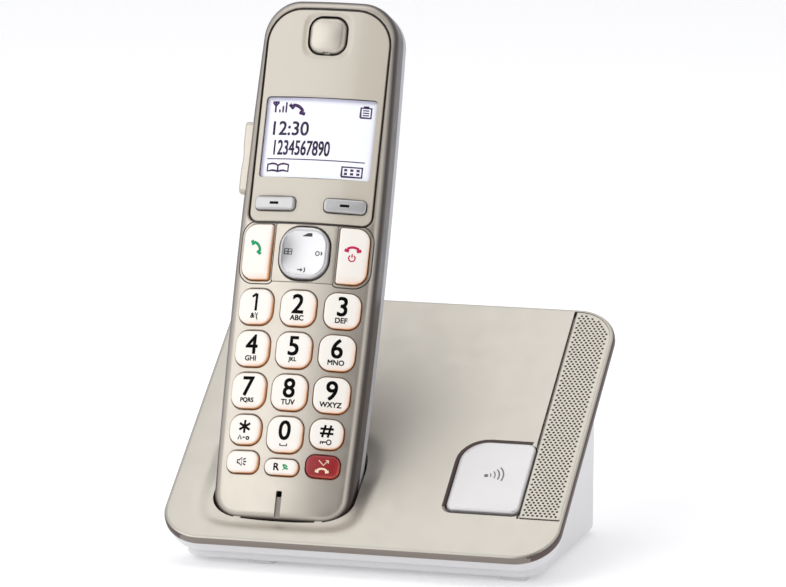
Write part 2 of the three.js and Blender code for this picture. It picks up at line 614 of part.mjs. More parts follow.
// The cradle follows the handset's section from just under its foot to above the panel.
function cradleForm(grow, foot) {
  const width = HANDSET_WIDTH - 1 + 2 * grow;
  const depth = FRONT_DEPTH + REAR_DEPTH + 2 * grow;
  const shape = roundedRect(width, depth, FOOT_CORNER + grow - 2);
  const form = extrude(shape, foot, 90);
  form.rotateX(-Math.PI / 2).translate(0, 0, (FRONT_DEPTH - REAR_DEPTH) / 2);
  return solid(form.applyMatrix4(handsetToPanel));
}
const plateTop = solid(panelPlate(0, -COVER_THICK - 4, 0, COVER_EDGE));
const plateUnder = solid(panelPlate(-2, -COVER_THICK - 12, -COVER_THICK, 0));
const coverPlate = plateTop.subtract(plateUnder);
const tub = cradleForm(DOCK_GAP + CRADLE_WALL, -DOCK_GAP - CRADLE_WALL);
const belowPanel = solid(panelPlate(10, -60, -0.8, 0));
const cavity = cradleForm(DOCK_GAP, -DOCK_GAP);
const pageShape = (grow) =>
  roundedRect(
    PAGE_KEY.width + 2 * grow,
    PAGE_KEY.height + 2 * grow,
    PAGE_KEY.corner + grow,
    PAGE_KEY.bigCorner + grow,
  );
const pageHole = solid(extrude(pageShape(KEY_GAP), -8, 4).translate(PAGE_KEY.x, PAGE_KEY.y, 0));
const grilleForm = (grow, top) => {
  const inner = solid(panelPlate(COVER_EDGE + 0.5 - grow, -GRILLE_THICK - grow, top, 0));
  const right = PANEL_WIDTH / 2 + 10;
  const width = right - GRILLE_LEFT + grow;
  const length = PANEL_LENGTH - GRILLE_BOTTOM + 10 + grow;
  const band = box(width, length, 30, right - width / 2, GRILLE_BOTTOM - grow + length / 2, 0);
  return inner.intersect(solid(band));
};
const soundHole = solid(
  extrude(
    roundedRect(SOUND_SLOT.width, SOUND_SLOT.top - SOUND_SLOT.bottom, 3),
    -10,
    5,
  ).translate(SOUND_SLOT.x, (SOUND_SLOT.top + SOUND_SLOT.bottom) / 2, 0),
);
const contactSlots = [-1, 1].map((side) => {
  const { width, thick } = CHARGE_CONTACT;
  const slot = box(width + 2 * GAP, 8, thick + 2 * GAP, side * TERMINAL.x, -2, TERMINAL.z);
  return solid(slot.applyMatrix4(handsetToPanel));
});
const dishForm = (() => {
  const foot = at(0, 0, FRONT_DEPTH).applyMatrix4(handsetToPanel);
  const width = HANDSET_WIDTH + 2 * DISH.margin;
  const low = foot.y - DISH.margin;
  const high = low + 44;
  const shape = roundedRect(width, high - low, FOOT_CORNER + 2);
  return solid(
    extrude(shape, -DISH.depth, DISH.depth, DISH.depth * 0.99).translate(HANDSET_X, (low + high) / 2, 0),
  );
})();
const topCover = without(
  join(coverPlate, tub.intersect(belowPanel)),
  dishForm,
  cavity,
  pageHole,
  grilleForm(GAP, 6),
  soundHole,
  ...contactSlots,
);
place(panel, "base_top_cover", topCover, material(0xd5d0c6, 0.42, 0.25));
place(panel, "speaker_grille", grilleForm(0, -GRILLE_SINK), material(0xb9b2a7, 0.45, 0.25));

const pageLow = -COVER_THICK - GAP - 1;
const pageCap = solid(extrude(pageShape(0), pageLow, PAGE_KEY_RISE, 0.8));
const pageFlange = solid(extrude(pageShape(PAGE_KEY.flange), pageLow, pageLow + 1));
place(
  panel,
  "page_key",
  join(pageCap, pageFlange).translate([PAGE_KEY.x, PAGE_KEY.y, 0]),
  material(0xdfdedf, 0.35, 0.3),
);
const switchTop = pageLow - PAGE_KEY_TRAVEL - 0.3;
place(
  panel,
  "page_switch",
  box(SWITCH.width, SWITCH.width, SWITCH.height, PAGE_KEY.x, PAGE_KEY.y, switchTop - SWITCH.height / 2),
  material(0x3a3a3d, 0.5),
);
place(
  panel,
  "base_speaker",
  join(
    solid(disc(SPEAKER.radius, -SLAB_THICK - 4, -SLAB_THICK - 1, 24)),
    solid(disc(SPEAKER.radius * 0.6, -SLAB_THICK - SPEAKER.height, -SLAB_THICK - 3.5, 20)),
  ).translate([SPEAKER.x, SPEAKER.y, 0]),
  material(0x4b4c50, 0.5, 0.4),
);

// ---- base: white lower case ----
// A shallow rim under the panel and an upright stand, one open tray in one moulding.
function standForm(inset, low) {
  const width = PANEL_WIDTH - 2 * STAND_INSET - 2 * inset;
  const depth = STAND_BACK - STAND_FRONT - 2 * inset;
  const shape = roundedRect(width, depth, STAND_CORNER - inset);
  const prism = extrude(shape, low, 120, 0, SWEEP);
  return solid(prism.translate(0, (STAND_BACK + STAND_FRONT) / 2, 0));
}
const toWorld = (body) => body.transform(panel.matrixWorld.elements);
const rimTop = -COVER_THICK - GAP;
const rimOuter = toWorld(solid(panelPlate(RIM_INSET, -SLAB_THICK, rimTop + 4, 1.6)));
const rimInner = toWorld(solid(panelPlate(RIM_INSET + SHELL_WALL, -SLAB_THICK + SHELL_WALL, 20, 0)));
const abovePanel = toWorld(solid(box(400, 400, 200, 0, 60, rimTop + 100)));
const standOuter = standForm(0, STAND_BOTTOM);
const standInner = standForm(SHELL_WALL, STAND_BOTTOM + FLOOR_WALL);
const backWall = STAND_BACK - SHELL_WALL;
const jackPlaces = [
  { name: "line_jack", size: LINE_JACK },
  { name: "power_jack", size: POWER_JACK },
];
const jackWindows = jackPlaces.map(({ size }) =>
  solid(box(size.width + 2 * GAP, 12, size.height + 2 * GAP, size.x, STAND_BACK, JACK_Z)),
);
const footPlaces = [
  ["foot_front_left", FEET.left, FEET.front],
  ["foot_front_right", FEET.right, FEET.front],
  ["foot_back_left", -FEET.right, FEET.back],
  ["foot_back_right", FEET.right, FEET.back],
];
const footWell = (x, y) =>
  solid(
    extrude(
      roundedRect(FOOT.width + 2 * GAP, FOOT.depth + 2 * GAP, FOOT.corner + GAP),
      STAND_BOTTOM - 1,
      STAND_BOTTOM + FOOT.sink + GAP,
    ).translate(x, y, 0),
  );
const baseScrewPlaces = [-1, 1].map((side) => at(side * BASE_SCREW.x, BASE_SCREW.y, 0));
const baseScrewHoles = baseScrewPlaces.map((p) =>
  solid(disc(BASE_SCREW.radius + GAP, STAND_BOTTOM - 1, STAND_BOTTOM + 4, 12).translate(p.x, p.y, 0)),
);
const headWells = baseScrewPlaces.map((p) =>
  solid(disc(BASE_SCREW.head + GAP, STAND_BOTTOM - 1, STAND_BOTTOM + 1, 16).translate(p.x, p.y, 0)),
);
// Posts on the tray's floor carry the board, the page switch and the speaker.
const boardFront = BASE_BOARD.back - BASE_BOARD.depth;
const boardTop = JACK_Z - LINE_JACK.height / 2 - GAP;
const boardPosts = [-1, 1].flatMap((side) =>
  [boardFront + 4, BASE_BOARD.back - 8].map((y) => {
    const x = BASE_BOARD.x + side * (BASE_BOARD.width / 2 - 5);
    const top = boardTop - BASE_BOARD.thick - GAP;
    return solid(disc(2.4, STAND_BOTTOM + 0.5, top, 8).translate(x, y, 0));
  }),
);
const slantedPost = (x, y, width, top) =>
  toWorld(solid(box(width, width, 80, x, y, top - 40))).intersect(standForm(0.5, STAND_BOTTOM + 0.5));
const posts = [
  ...boardPosts,
  slantedPost(PAGE_KEY.x, PAGE_KEY.y, SWITCH.width, switchTop - SWITCH.height - GAP),
  slantedPost(SPEAKER.x, SPEAKER.y, 8, -SLAB_THICK - SPEAKER.height - GAP),
];
const shell = without(join(rimOuter, standOuter), abovePanel, join(rimInner, standInner));
const tray = without(
  join(shell, ...posts),
  ...jackWindows,
  ...footPlaces.map(([, x, y]) => footWell(x, y)),
  ...baseScrewHoles,
  ...headWells,
);
place(phone, "base_lower_case", tray, material(0xe4e3e1, 0.5));

for (const [name, x, y] of footPlaces) {
  const top = STAND_BOTTOM + FOOT.sink;
  const outline = roundedRect(FOOT.width, FOOT.depth, FOOT.corner);
  const pad = extrude(outline, STAND_BOTTOM - FOOT.height, top, 0.3);
  place(phone, name, pad.translate(x, y, 0), material(0xcfcfd0, 0.85));
}
for (const [i, p] of baseScrewPlaces.entries()) {
  const head = solid(disc(BASE_SCREW.head, STAND_BOTTOM - 0.6, STAND_BOTTOM + 0.7, 16));
  const shank = solid(disc(BASE_SCREW.radius, STAND_BOTTOM, STAND_BOTTOM + BASE_SCREW.length, 12));
  const cross = solid(box(3.2, 0.8, 1, 0, 0, STAND_BOTTOM - 0.6));
  const screw = join(head, shank).subtract(cross).translate([p.x, p.y, 0]);
  place(phone, i ? "base_screw_right" : "base_screw_left", screw, material(0x8d8f92, 0.35, 1));
}

place(
  phone,
  "base_board",
  box(
    BASE_BOARD.width,
    BASE_BOARD.depth,
    BASE_BOARD.thick,
    BASE_BOARD.x,
    (BASE_BOARD.back + boardFront) / 2,
    boardTop - BASE_BOARD.thick / 2,
  ),
  material(0x2f6b45, 0.5),
);

// ---- jacks in the back wall ----
for (const { name, size } of jackPlaces) {
  const front = STAND_BACK - size.depth;
  const block = solid(box(size.width, size.depth, size.height, size.x, front + size.depth / 2, JACK_Z));
  if (name === "line_jack") {
    const mouth = solid(
      box(size.mouth, size.depth, size.mouthHeight, size.x, front + size.depth / 2 + 2, JACK_Z),
    );
    place(phone, name, block.subtract(mouth), material(0x3b3b3d, 0.5));
  } else {
    const barrel = disc(size.bore, 0, size.depth, 16).rotateX(-Math.PI / 2);
    const bore = solid(barrel.translate(size.x, front + 3, JACK_Z));
    const pinForm = disc(size.pin, 0, size.depth - 3, 10).rotateX(-Math.PI / 2);
    const pin = solid(pinForm.translate(size.x, front + 1, JACK_Z));
    place(phone, name, join(block.subtract(bore), pin), material(0x232325, 0.5));
  }
}

// ---- charge contacts: sprung blades that stand up through the cradle floor ----
for (const side of [-1, 1]) {
  const { width, thick } = CHARGE_CONTACT;
  const top = TERMINAL.recess - GAP;
  const low = -DOCK_GAP - CRADLE_WALL - CHARGE_CONTACT.tail;
  place(
    handset,
    side < 0 ? "charge_contact_left" : "charge_contact_right",
    box(width, top - low, thick, side * TERMINAL.x, (top + low) / 2, TERMINAL.z),
    material(0xd9d4c4, 0.25, 1),
  );
}

// The origin moves under the middle of the whole object, on the surface it stands on.
phone.updateMatrixWorld(true);
const bounds = new THREE.Box3().setFromObject(phone, true);
phone.position.set(
  -(bounds.min.x + bounds.max.x) / 2,
  -(bounds.min.y + bounds.max.y) / 2,
  -bounds.min.z,
);
phone.updateMatrixWorld(true);
const root = new THREE.Group();
root.add(phone);

export default root;
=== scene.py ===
import json
import math

import bpy
from mathutils import Matrix, Vector


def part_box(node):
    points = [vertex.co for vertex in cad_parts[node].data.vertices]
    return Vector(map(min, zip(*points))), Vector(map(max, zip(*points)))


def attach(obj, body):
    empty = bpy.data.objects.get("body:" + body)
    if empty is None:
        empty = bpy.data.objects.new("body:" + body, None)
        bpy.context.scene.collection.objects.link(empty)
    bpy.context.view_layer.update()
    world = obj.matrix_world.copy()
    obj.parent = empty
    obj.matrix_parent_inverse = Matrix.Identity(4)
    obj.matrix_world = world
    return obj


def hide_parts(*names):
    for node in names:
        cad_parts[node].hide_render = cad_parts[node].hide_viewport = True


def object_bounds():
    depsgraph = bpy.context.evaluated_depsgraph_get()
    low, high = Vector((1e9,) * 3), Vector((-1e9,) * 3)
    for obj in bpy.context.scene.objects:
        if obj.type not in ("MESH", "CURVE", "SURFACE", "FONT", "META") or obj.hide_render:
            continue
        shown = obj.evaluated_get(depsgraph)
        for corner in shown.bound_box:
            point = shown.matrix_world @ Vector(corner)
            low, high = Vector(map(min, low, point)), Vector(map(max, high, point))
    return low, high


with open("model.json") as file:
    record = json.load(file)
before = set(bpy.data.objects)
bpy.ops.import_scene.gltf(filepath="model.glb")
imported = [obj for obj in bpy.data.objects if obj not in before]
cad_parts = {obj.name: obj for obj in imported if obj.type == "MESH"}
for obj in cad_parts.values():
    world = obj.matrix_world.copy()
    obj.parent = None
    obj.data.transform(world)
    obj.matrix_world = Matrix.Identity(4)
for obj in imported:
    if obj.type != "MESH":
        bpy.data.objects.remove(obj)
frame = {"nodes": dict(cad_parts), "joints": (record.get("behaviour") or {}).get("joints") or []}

cad_low, cad_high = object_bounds()
MM = 0.001

# ---- camera ----
# The phone is seen from a little to its right and a little above, through a long lens that
# keeps its edges nearly parallel.
CAMERA_TURN = math.radians(15.2)
CAMERA_RISE = math.radians(9.8)
CAMERA_ROLL = math.radians(0.4)
CAMERA_DISTANCE = 1.625
CAMERA_LENS = 238.2
CAMERA_AIM = Vector((12.9 * MM, cad_low[1], 91.6 * MM))


def heading(turn, rise):
    """The way out from the phone at a turn to its right and a rise, both in radians."""
    return Vector((
        math.sin(turn) * math.cos(rise), -math.cos(turn) * math.cos(rise), math.sin(rise)
    ))


toward = heading(CAMERA_TURN, CAMERA_RISE)
level = Vector((math.cos(CAMERA_TURN), math.sin(CAMERA_TURN), 0))
side = level * math.cos(CAMERA_ROLL) + toward.cross(level) * math.sin(CAMERA_ROLL)
camera_axes = Matrix((side, toward.cross(side), toward)).transposed()
bpy.ops.object.camera_add(
    location=CAMERA_AIM + toward * CAMERA_DISTANCE, rotation=camera_axes.to_euler()
)
bpy.context.scene.camera = bpy.context.object
bpy.context.object.data.lens = CAMERA_LENS

# ---- studio ----
# A pale sheet of paper runs from the table up behind the phone, in a white tent. One large soft
# light stands to the left, one hangs above, and a dark flag hangs in front on the right.
FLOOR_COLOUR = 0xF4F4F5
FLOOR_HALF = 4.0
SWEEP_BACK = 2.4
SWEEP_RADIUS = 1.2
SWEEP_STEPS = 12


def linear(value):
    """An sRGB hex colour as the linear red, green, blue and alpha that a shader takes."""
    parts = [(value >> shift & 255) / 255 for shift in (16, 8, 0)]
    return [p / 12.92 if p <= 0.04045 else ((p + 0.055) / 1.055) ** 2.4 for p in parts] + [1]


def add_node(tree, kind, inputs=None, **settings):
    """Adds one node: its settings by name, and its inputs as values or as sockets to link."""
    made = tree.nodes.new("ShaderNode" + kind)
    for name, value in settings.items():
        setattr(made, name, value)
    for name, value in (inputs or {}).items():
        if isinstance(value, bpy.types.NodeSocket):
            tree.links.new(value, made.inputs[name])
        else:
            made.inputs[name].default_value = value
    return made


def surface(name, tone, roughness, grain=0.8, mottle=0.03, depth=0.01, sheer=0.06, **shader):
    """One procedural finish. Two noises of real size, in millimetres, vary its colour, its
    roughness and its height: a fine grain, and a cloud twelve times as wide."""
    made = bpy.data.materials.new(name)
    made.use_nodes = True
    tree = made.node_tree
    tree.nodes.clear()
    place = add_node(tree, "TexCoord").outputs["Object"]
    fine, cloud = (
        add_node(
            tree, "TexNoise", {"Vector": place, "Scale": 1 / (wide * grain * MM), "Detail": detail}
        ).outputs["Fac"]
        for wide, detail in ((1, 3.0), (12, 2.0))
    )
    both = add_node(tree, "Math", {0: fine, 1: cloud}, operation="ADD").outputs[0]
    base = linear(tone)
    dark, light = ([min(1, c * (1 + way * mottle)) for c in base[:3]] + [1] for way in (-1, 1))
    half = add_node(tree, "Math", {0: both, 1: 0.5}, operation="MULTIPLY").outputs[0]
    shade = add_node(tree, "Mix", {"Factor": half, 6: dark, 7: light}, data_type="RGBA").outputs[2]
    dull = add_node(
        tree,
        "MapRange",
        {"Value": half, "From Min": 0.3, "From Max": 0.7,
         "To Min": roughness - sheer, "To Max": roughness + sheer},
    ).outputs[0]
    bump = add_node(
        tree, "Bump", {"Height": fine, "Distance": depth * MM, "Strength": 1.0}
    ).outputs[0]
    bsdf = add_node(
        tree, "BsdfPrincipled", {"Base Color": shade, "Roughness": dull, "Normal": bump}
    )
    for socket, value in shader.items():
        bsdf.inputs[socket.replace("_", " ")].default_value = value
    output = add_node(tree, "OutputMaterial", {"Surface": bsdf.outputs[0]})
    output.is_active_output = True
    return made


def mode(name):
    bpy.ops.object.mode_set(mode=name)


def only(piece):
    """Leaves edit mode, selects one piece alone and makes it the active one."""
    if bpy.context.mode != "OBJECT":
        mode("OBJECT")
    bpy.ops.object.select_all(action="DESELECT")
    piece.select_set(True)
    bpy.context.view_layer.objects.active = piece


def named(name):
    """Gives the piece that was just added its name."""
    piece = bpy.context.object
    piece.name = name
    piece.data.name = name
    return piece


def pick(piece, kind, test):
    """In edit mode, selects the vertices, edges or faces whose place and direction pass a test."""
    only(piece)
    mode("EDIT")
    bpy.ops.mesh.select_mode(type=kind)
    bpy.ops.mesh.select_all(action="DESELECT")
    mode("OBJECT")
    mesh = piece.data
    if kind == "FACE":
        for face in mesh.polygons:
            face.select = test(face.center, face.normal)
    elif kind == "EDGE":
        for edge in mesh.edges:
            one, two = (mesh.vertices[i].co for i in edge.vertices)
            edge.select = test((one + two) / 2, two - one)
    else:
        for vertex in mesh.vertices:
            vertex.select = test(vertex.co, vertex.normal)
    mode("EDIT")


bpy.ops.object.select_all(action="DESELECT")
bpy.ops.mesh.primitive_plane_add(size=2 * FLOOR_HALF, location=(0, SWEEP_BACK - FLOOR_HALF, 0))
paper = named("studio_paper")
bpy.ops.object.transform_apply(location=True)
pick(paper, "EDGE", lambda place, _: place.y > SWEEP_BACK - 0.01)
bpy.ops.mesh.spin(
    steps=SWEEP_STEPS, angle=math.radians(-90), center=(0, SWEEP_BACK, SWEEP_RADIUS), axis=(1, 0, 0)
)
mode("OBJECT")
bpy.ops.object.shade_smooth()
paper.data.materials.append(
    surface("matt_paper", FLOOR_COLOUR, 0.9, grain=3, mottle=0.004, depth=0.0, sheer=0.02,
            Emission_Color=linear(0xFFFFFF), Emission_Strength=0.2)
)


def soft_light(name, place, aim, width, height, power):
    """A rectangular studio light at a place, turned to face a point."""
    bpy.ops.object.light_add(type="AREA", location=place)
    light = bpy.context.object
    light.name = name
    light.data.shape = "RECTANGLE"
    light.data.size = width
    light.data.size_y = height
    light.data.energy = power
    light.rotation_euler = (Vector(place) - Vector(aim)).to_track_quat("Z", "Y").to_euler()


PHONE_MIDDLE = (0, 0, 0.08)
soft_light("left_softbox", (-0.99, -1.42, 1.1), PHONE_MIDDLE, 1.9, 1.6, 14)
soft_light("top_softbox", (-0.25, 0.25, 1.9), PHONE_MIDDLE, 1.7, 1.3, 7.5)
soft_light("right_fill", (1.7, -1.3, 0.55), PHONE_MIDDLE, 0.8, 1.2, 2.5)
TENT_LIGHT = 0.78
FLAG_LIGHT = 0.04
FLAG_TURN = math.radians(17)
FLAG_RISE = math.radians(30)
FLAG_NEAR = 0.955
FLAG_FAR = 0.84
world = bpy.data.worlds.new("studio_tent")
bpy.context.scene.world = world
bpy.context.scene.view_settings.view_transform = "Standard"
world.use_nodes = True
tent = world.node_tree
looking = add_node(tent, "TexCoord").outputs["Generated"]
nearness = add_node(
    tent, "VectorMath", {0: looking, 1: heading(FLAG_TURN, FLAG_RISE)}, operation="DOT_PRODUCT"
).outputs["Value"]
strength = add_node(
    tent,
    "MapRange",
    {"Value": nearness, "From Min": FLAG_FAR, "From Max": FLAG_NEAR,
     "To Min": TENT_LIGHT, "To Max": FLAG_LIGHT},
    interpolation_type="SMOOTHSTEP",
).outputs[0]
tent.nodes["Background"].inputs["Color"].default_value = linear(0xFDFDFF)
tent.links.new(strength, tent.nodes["Background"].inputs["Strength"])

# ---- the handset's own axes ----
# Pieces of the handset are modelled in millimetres as if it lay on its back: x across it, y up
# from its foot, z out of its face from the parting line. They are turned into place when done.
joints = {joint["name"]: Vector(joint["axis"]) for joint in frame["joints"]}
ACROSS = Vector((1, 0, 0))


def axes_of(across, up):
    return Matrix((across, up, across.cross(up))).transposed()


def extent(points):
    """The lowest and the highest corner round some points."""
    return [Vector([end(p[i] for p in points) for i in range(3)]) for end in (min, max)]


def reach(axes, *nodes):
    """The lowest and highest corner of CAD nodes along three axes, in millimetres."""
    turned = axes.transposed()
    points = [turned @ v.co / MM for n in nodes for v in frame["nodes"][n].data.vertices]
    return extent(points)


def placing(axes, origin):
    """The matrix from millimetres along these axes to metres in the frame."""
    return Matrix.Translation(axes @ origin * MM) @ axes.to_4x4() @ Matrix.Scale(MM, 4)


UP = joints["handset_lift"]
handset_axes = axes_of(ACROSS, UP)
case_low, case_high = reach(handset_axes, "front_case")
handset_origin = Vector(((case_low.x + case_high.x) / 2, case_low.y, case_low.z))
HANDSET = placing(handset_axes, handset_origin)
CASE_WIDTH, CASE_LENGTH, FACE_HEIGHT = case_high - case_low


def in_handset(node):
    low, high = reach(handset_axes, node)
    return low - handset_origin, high - handset_origin


# ---- front case ----
# The front shell is moulded in ABS and sprayed with a champagne metallic paint. Below the face
# it turns a dark umber, as painted shade on its sides and on the walls and floors of its openings.
# Keys and fascia sit in openings in its face.
FOOT_WIDTH = 45.6
HEAD_WIDTH = 45.4
FOOT_CORNER = 9.0
HEAD_CORNER = 12.0
HEAD_ARCH = 0.5
CROWN_RADIUS = 95.0
FACE_EDGE = 3.0
CASE_WALL = 2.0
GAP = 0.3
KEY_GAP = 0.35
SLICE = 1.5
SMOOTH_ANGLE = math.radians(32)
THROUGH = (-8, 4)
HUGE = 400


def shift(piece, place):
    piece.data.transform(Matrix.Translation(place))


def extrude(height):
    bpy.ops.mesh.extrude_region_move(TRANSFORM_OT_translate={"value": (0, 0, height)})


def plate(name, width, height, corners, low, high, steps=8, middle=(0, 0, 0)):
    """A plate from low to high in z. Its corner radii start at the lower left and go round."""
    bpy.ops.mesh.primitive_plane_add(size=1)
    piece = named(name)
    piece.scale = (width, height, 1)
    bpy.ops.object.transform_apply(scale=True)
    spots = [(-1, -1), (1, -1), (1, 1), (-1, 1)]
    for (sx, sy), radius in zip(spots, corners):
        spot = Vector((sx * width / 2, sy * height / 2, 0))
        pick(piece, "VERT", lambda place, _: (place - spot).length < 0.01)
        bpy.ops.mesh.bevel(
            offset_type="ABSOLUTE", offset=radius, segments=steps, affect="VERTICES"
        )
    bpy.ops.mesh.select_all(action="SELECT")
    extrude(high - low)
    bpy.ops.mesh.select_all(action="SELECT")
    bpy.ops.mesh.normals_make_consistent(inside=False)
    mode("OBJECT")
    shift(piece, (0, 0, low))
    shift(piece, middle)
    return piece


def grown(size, corners, gap):
    """A width, a height and four corner radii, made larger by a gap all round."""
    return size[0] + 2 * gap, size[1] + 2 * gap, [corner + gap for corner in corners]


def round_edges(piece, radius, steps, test):
    pick(piece, "EDGE", test)
    bpy.ops.mesh.bevel(offset=radius, segments=steps, affect="EDGES")
    mode("OBJECT")


def level_at(height):
    """A test for the edges that lie flat at one height."""
    return lambda place, along: abs(place.z - height) < 0.01 and abs(along.z) < 0.01


def slices(piece, axis, low, high, step):
    """Cuts the faces along evenly spaced lines, so that they can bend between them."""
    only(piece)
    mode("EDIT")
    count = math.ceil((high - low) / step)
    for i in range(count + 1):
        spot = Vector((0, 0, 0))
        spot[axis] = low + (high - low) * i / count
        bpy.ops.mesh.select_all(action="SELECT")
        bpy.ops.mesh.bisect(plane_co=spot, plane_no=[float(n == axis) for n in range(3)])
    mode("OBJECT")


def grid(piece, width, height, step):
    """Slices a piece both ways about its middle."""
    slices(piece, 0, -width / 2, width / 2, step)
    slices(piece, 1, -height / 2, height / 2, step)


def reshape(piece, rule):
    """Moves every vertex to where a rule puts it."""
    for vertex in piece.data.vertices:
        vertex.co = rule(vertex.co)
    piece.data.update()


def modify(piece, kind, **settings):
    modifier = piece.modifiers.new(kind.lower(), kind)
    for name, value in settings.items():
        setattr(modifier, name, value)
    only(piece)
    bpy.ops.object.modifier_apply(modifier=modifier.name)


def cut(piece, *tools, operation="DIFFERENCE"):
    """Cuts tools out of a piece, or joins them to it, and takes the tools away."""
    for tool in tools:
        modify(piece, "BOOLEAN", object=tool, operation=operation, solver="EXACT")
        bpy.data.objects.remove(tool)


def paint(piece, index, test):
    """Gives the faces that pass a test another of the piece's finishes."""
    for face in piece.data.polygons:
        if test(face.center, face.normal):
            face.material_index = index


def fit(piece, place, body, slot, *finishes, replaced=()):
    """Puts a finished piece in its place in the frame, gives it its finishes, smooths its shading
    and attaches it to its body.
    """
    piece.data.transform(place)
    for finish in finishes:
        piece.data.materials.append(finish)
    only(piece)
    bpy.ops.object.shade_smooth_by_angle(angle=SMOOTH_ANGLE)
    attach(piece, body)
    if replaced:
        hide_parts(*replaced)
    return piece


def half_width(y):
    """Half the handset's width: its sides bow out between foot and head."""
    t = (y - FOOT_CORNER) / (CASE_LENGTH - FOOT_CORNER - HEAD_CORNER)
    t = min(1, max(0, t))
    ends = FOOT_WIDTH / 2 * (1 - t) + HEAD_WIDTH / 2 * t
    bulge = CASE_WIDTH / 2 - (FOOT_WIDTH + HEAD_WIDTH) / 4
    return ends + bulge * 4 * t * (1 - t)


def barrel(name, inset, low, high, edge=0.0, under=0.0):
    """The handset's outline as a thick plate, with a rounding above and one below."""
    width = FOOT_WIDTH - 2 * inset
    length = CASE_LENGTH - 2 * inset
    foot = FOOT_CORNER - inset
    head = HEAD_CORNER - inset
    piece = plate(name, width, length, (foot, foot, head, head), low, high, 14,
                  (0, CASE_LENGTH / 2, 0))
    slices(piece, 1, FOOT_CORNER, CASE_LENGTH - HEAD_CORNER, 8)

    def bowed(place):
        x = place.x * (half_width(place.y) - inset) / (width / 2)
        drop = HEAD_ARCH * (2 * place.x / width) ** 2 if place.y > CASE_LENGTH / 2 else 0
        return Vector((x, place.y - drop, place.z))

    reshape(piece, bowed)
    if edge:
        round_edges(piece, edge, 9, lambda p, d: level_at(high)(p, d) and on_outline(p, inset))
    if under:
        round_edges(piece, under, 9, lambda p, d: level_at(low)(p, d) and on_outline(p, inset))
    return piece


def on_outline(place, inset):
    """True near the handset's outline, and false on a line across it."""
    close = half_width(place.y) - inset - abs(place.x) < 0.3
    ends = place.y < FOOT_CORNER or place.y > CASE_LENGTH - HEAD_CORNER - 0.01
    return close or ends


def crown_drop(x):
    return CROWN_RADIUS - math.sqrt(CROWN_RADIUS**2 - x * x)


def crowned(piece, above=0.5):
    """Bends a piece's upper side to the gentle arch of the face."""
    half = CASE_WIDTH / 2 + 1
    slices(piece, 0, -half, half, SLICE)

    def rule(place):
        drop = crown_drop(place.x) if place.z > above else 0
        return place - Vector((0, 0, drop))

    reshape(piece, rule)


def two_tone_and_painted_light(name, skin, body, roughness=0.38, **shader):
    """A finish whose colour gives way to a plain second one where the blend mark is high. The
    second colour is painted shade on the case and the film, and on the keys their real amber
    weighted as painted light.
    """
    made = surface(name, skin, roughness, grain=0.6, mottle=0.012, depth=0.003, **shader)
    tree = made.node_tree
    bsdf = next(n for n in tree.nodes if n.type == "BSDF_PRINCIPLED")
    skin_socket = bsdf.inputs["Base Color"].links[0].from_socket
    mark = add_node(tree, "Attribute", attribute_name="blend").outputs["Fac"]
    mixed = add_node(
        tree, "Mix", {"Factor": mark, 6: skin_socket, 7: linear(body)}, data_type="RGBA"
    )
    tree.links.new(mixed.outputs[2], bsdf.inputs["Base Color"])
    metal = add_node(
        tree, "MapRange", {"Value": mark, "To Min": shader.get("Metallic", 0.0), "To Max": 0.0}
    )
    tree.links.new(metal.outputs[0], bsdf.inputs["Metallic"])
    return made


def blended(piece, rule):
    """Marks every point of a piece with how much of the second colour it shows."""
    layer = piece.data.attributes.new("blend", "FLOAT", "POINT")
    for vertex, value in zip(piece.data.vertices, layer.data):
        value.value = min(1, max(0, rule(vertex.co)))


def smooth_step(t):
    t = min(1, max(0, t))
    return t * t * (3 - 2 * t)


# Champagne paint whose second colour, a dark umber, is painted shade.
CHAMPAGNE = two_tone_and_painted_light(
    "champagne_paint_with_painted_shade", 0xBDB6AB, 0x3E3431, 0.36, Metallic=0.72, Coat_Weight=0.15,
    Coat_Roughness=0.2,
)
front = barrel("handset_front_case", 0, 0, FACE_HEIGHT, edge=FACE_EDGE)
crowned(front)
hollow = barrel("front_hollow", CASE_WALL, -1, FACE_HEIGHT - CASE_WALL)
crowned(hollow)
cut(front, hollow)

# Openings of the face: what fills each one says where it is.
FLARE = 0.3


def opening(width, height, corners, depth=6.0, flare=FLARE):
    """A cutter for a hole in a face at z = 0, with a small flare where it meets the face."""
    tool = plate("opening", width, height, corners, -depth, -flare, steps=7)
    pick(tool, "FACE", lambda place, facing: facing.z > 0.9)
    rise = 2.0
    extrude(flare + rise)
    grown = 2 * (flare + rise)
    bpy.ops.transform.resize(value=(1 + grown / width, 1 + grown / height, 1))
    mode("OBJECT")
    return tool


FASCIA_GAP = 0.75
FASCIA_FLARE = 0.4
fascia_low, fascia_high = in_handset("display_fascia")
FASCIA_WIDTH = fascia_high.x - fascia_low.x
FASCIA_LENGTH = fascia_high.y - fascia_low.y
FASCIA_CORNERS = (3.0, 3.0, 11.0, 11.0)
FASCIA_SINK = FACE_HEIGHT - fascia_high.z
FASCIA_THICK = 0.8
fascia_middle = Matrix.Translation((0, (fascia_low.y + fascia_high.y) / 2, 0))
recess = opening(
    *grown((FASCIA_WIDTH, FASCIA_LENGTH), FASCIA_CORNERS, FASCIA_GAP),
    depth=FASCIA_SINK + FASCIA_THICK + GAP, flare=FASCIA_FLARE,
)
recess.data.transform(Matrix.Translation((0, 0, FACE_HEIGHT)) @ fascia_middle)
crowned(recess)
cut(front, recess)

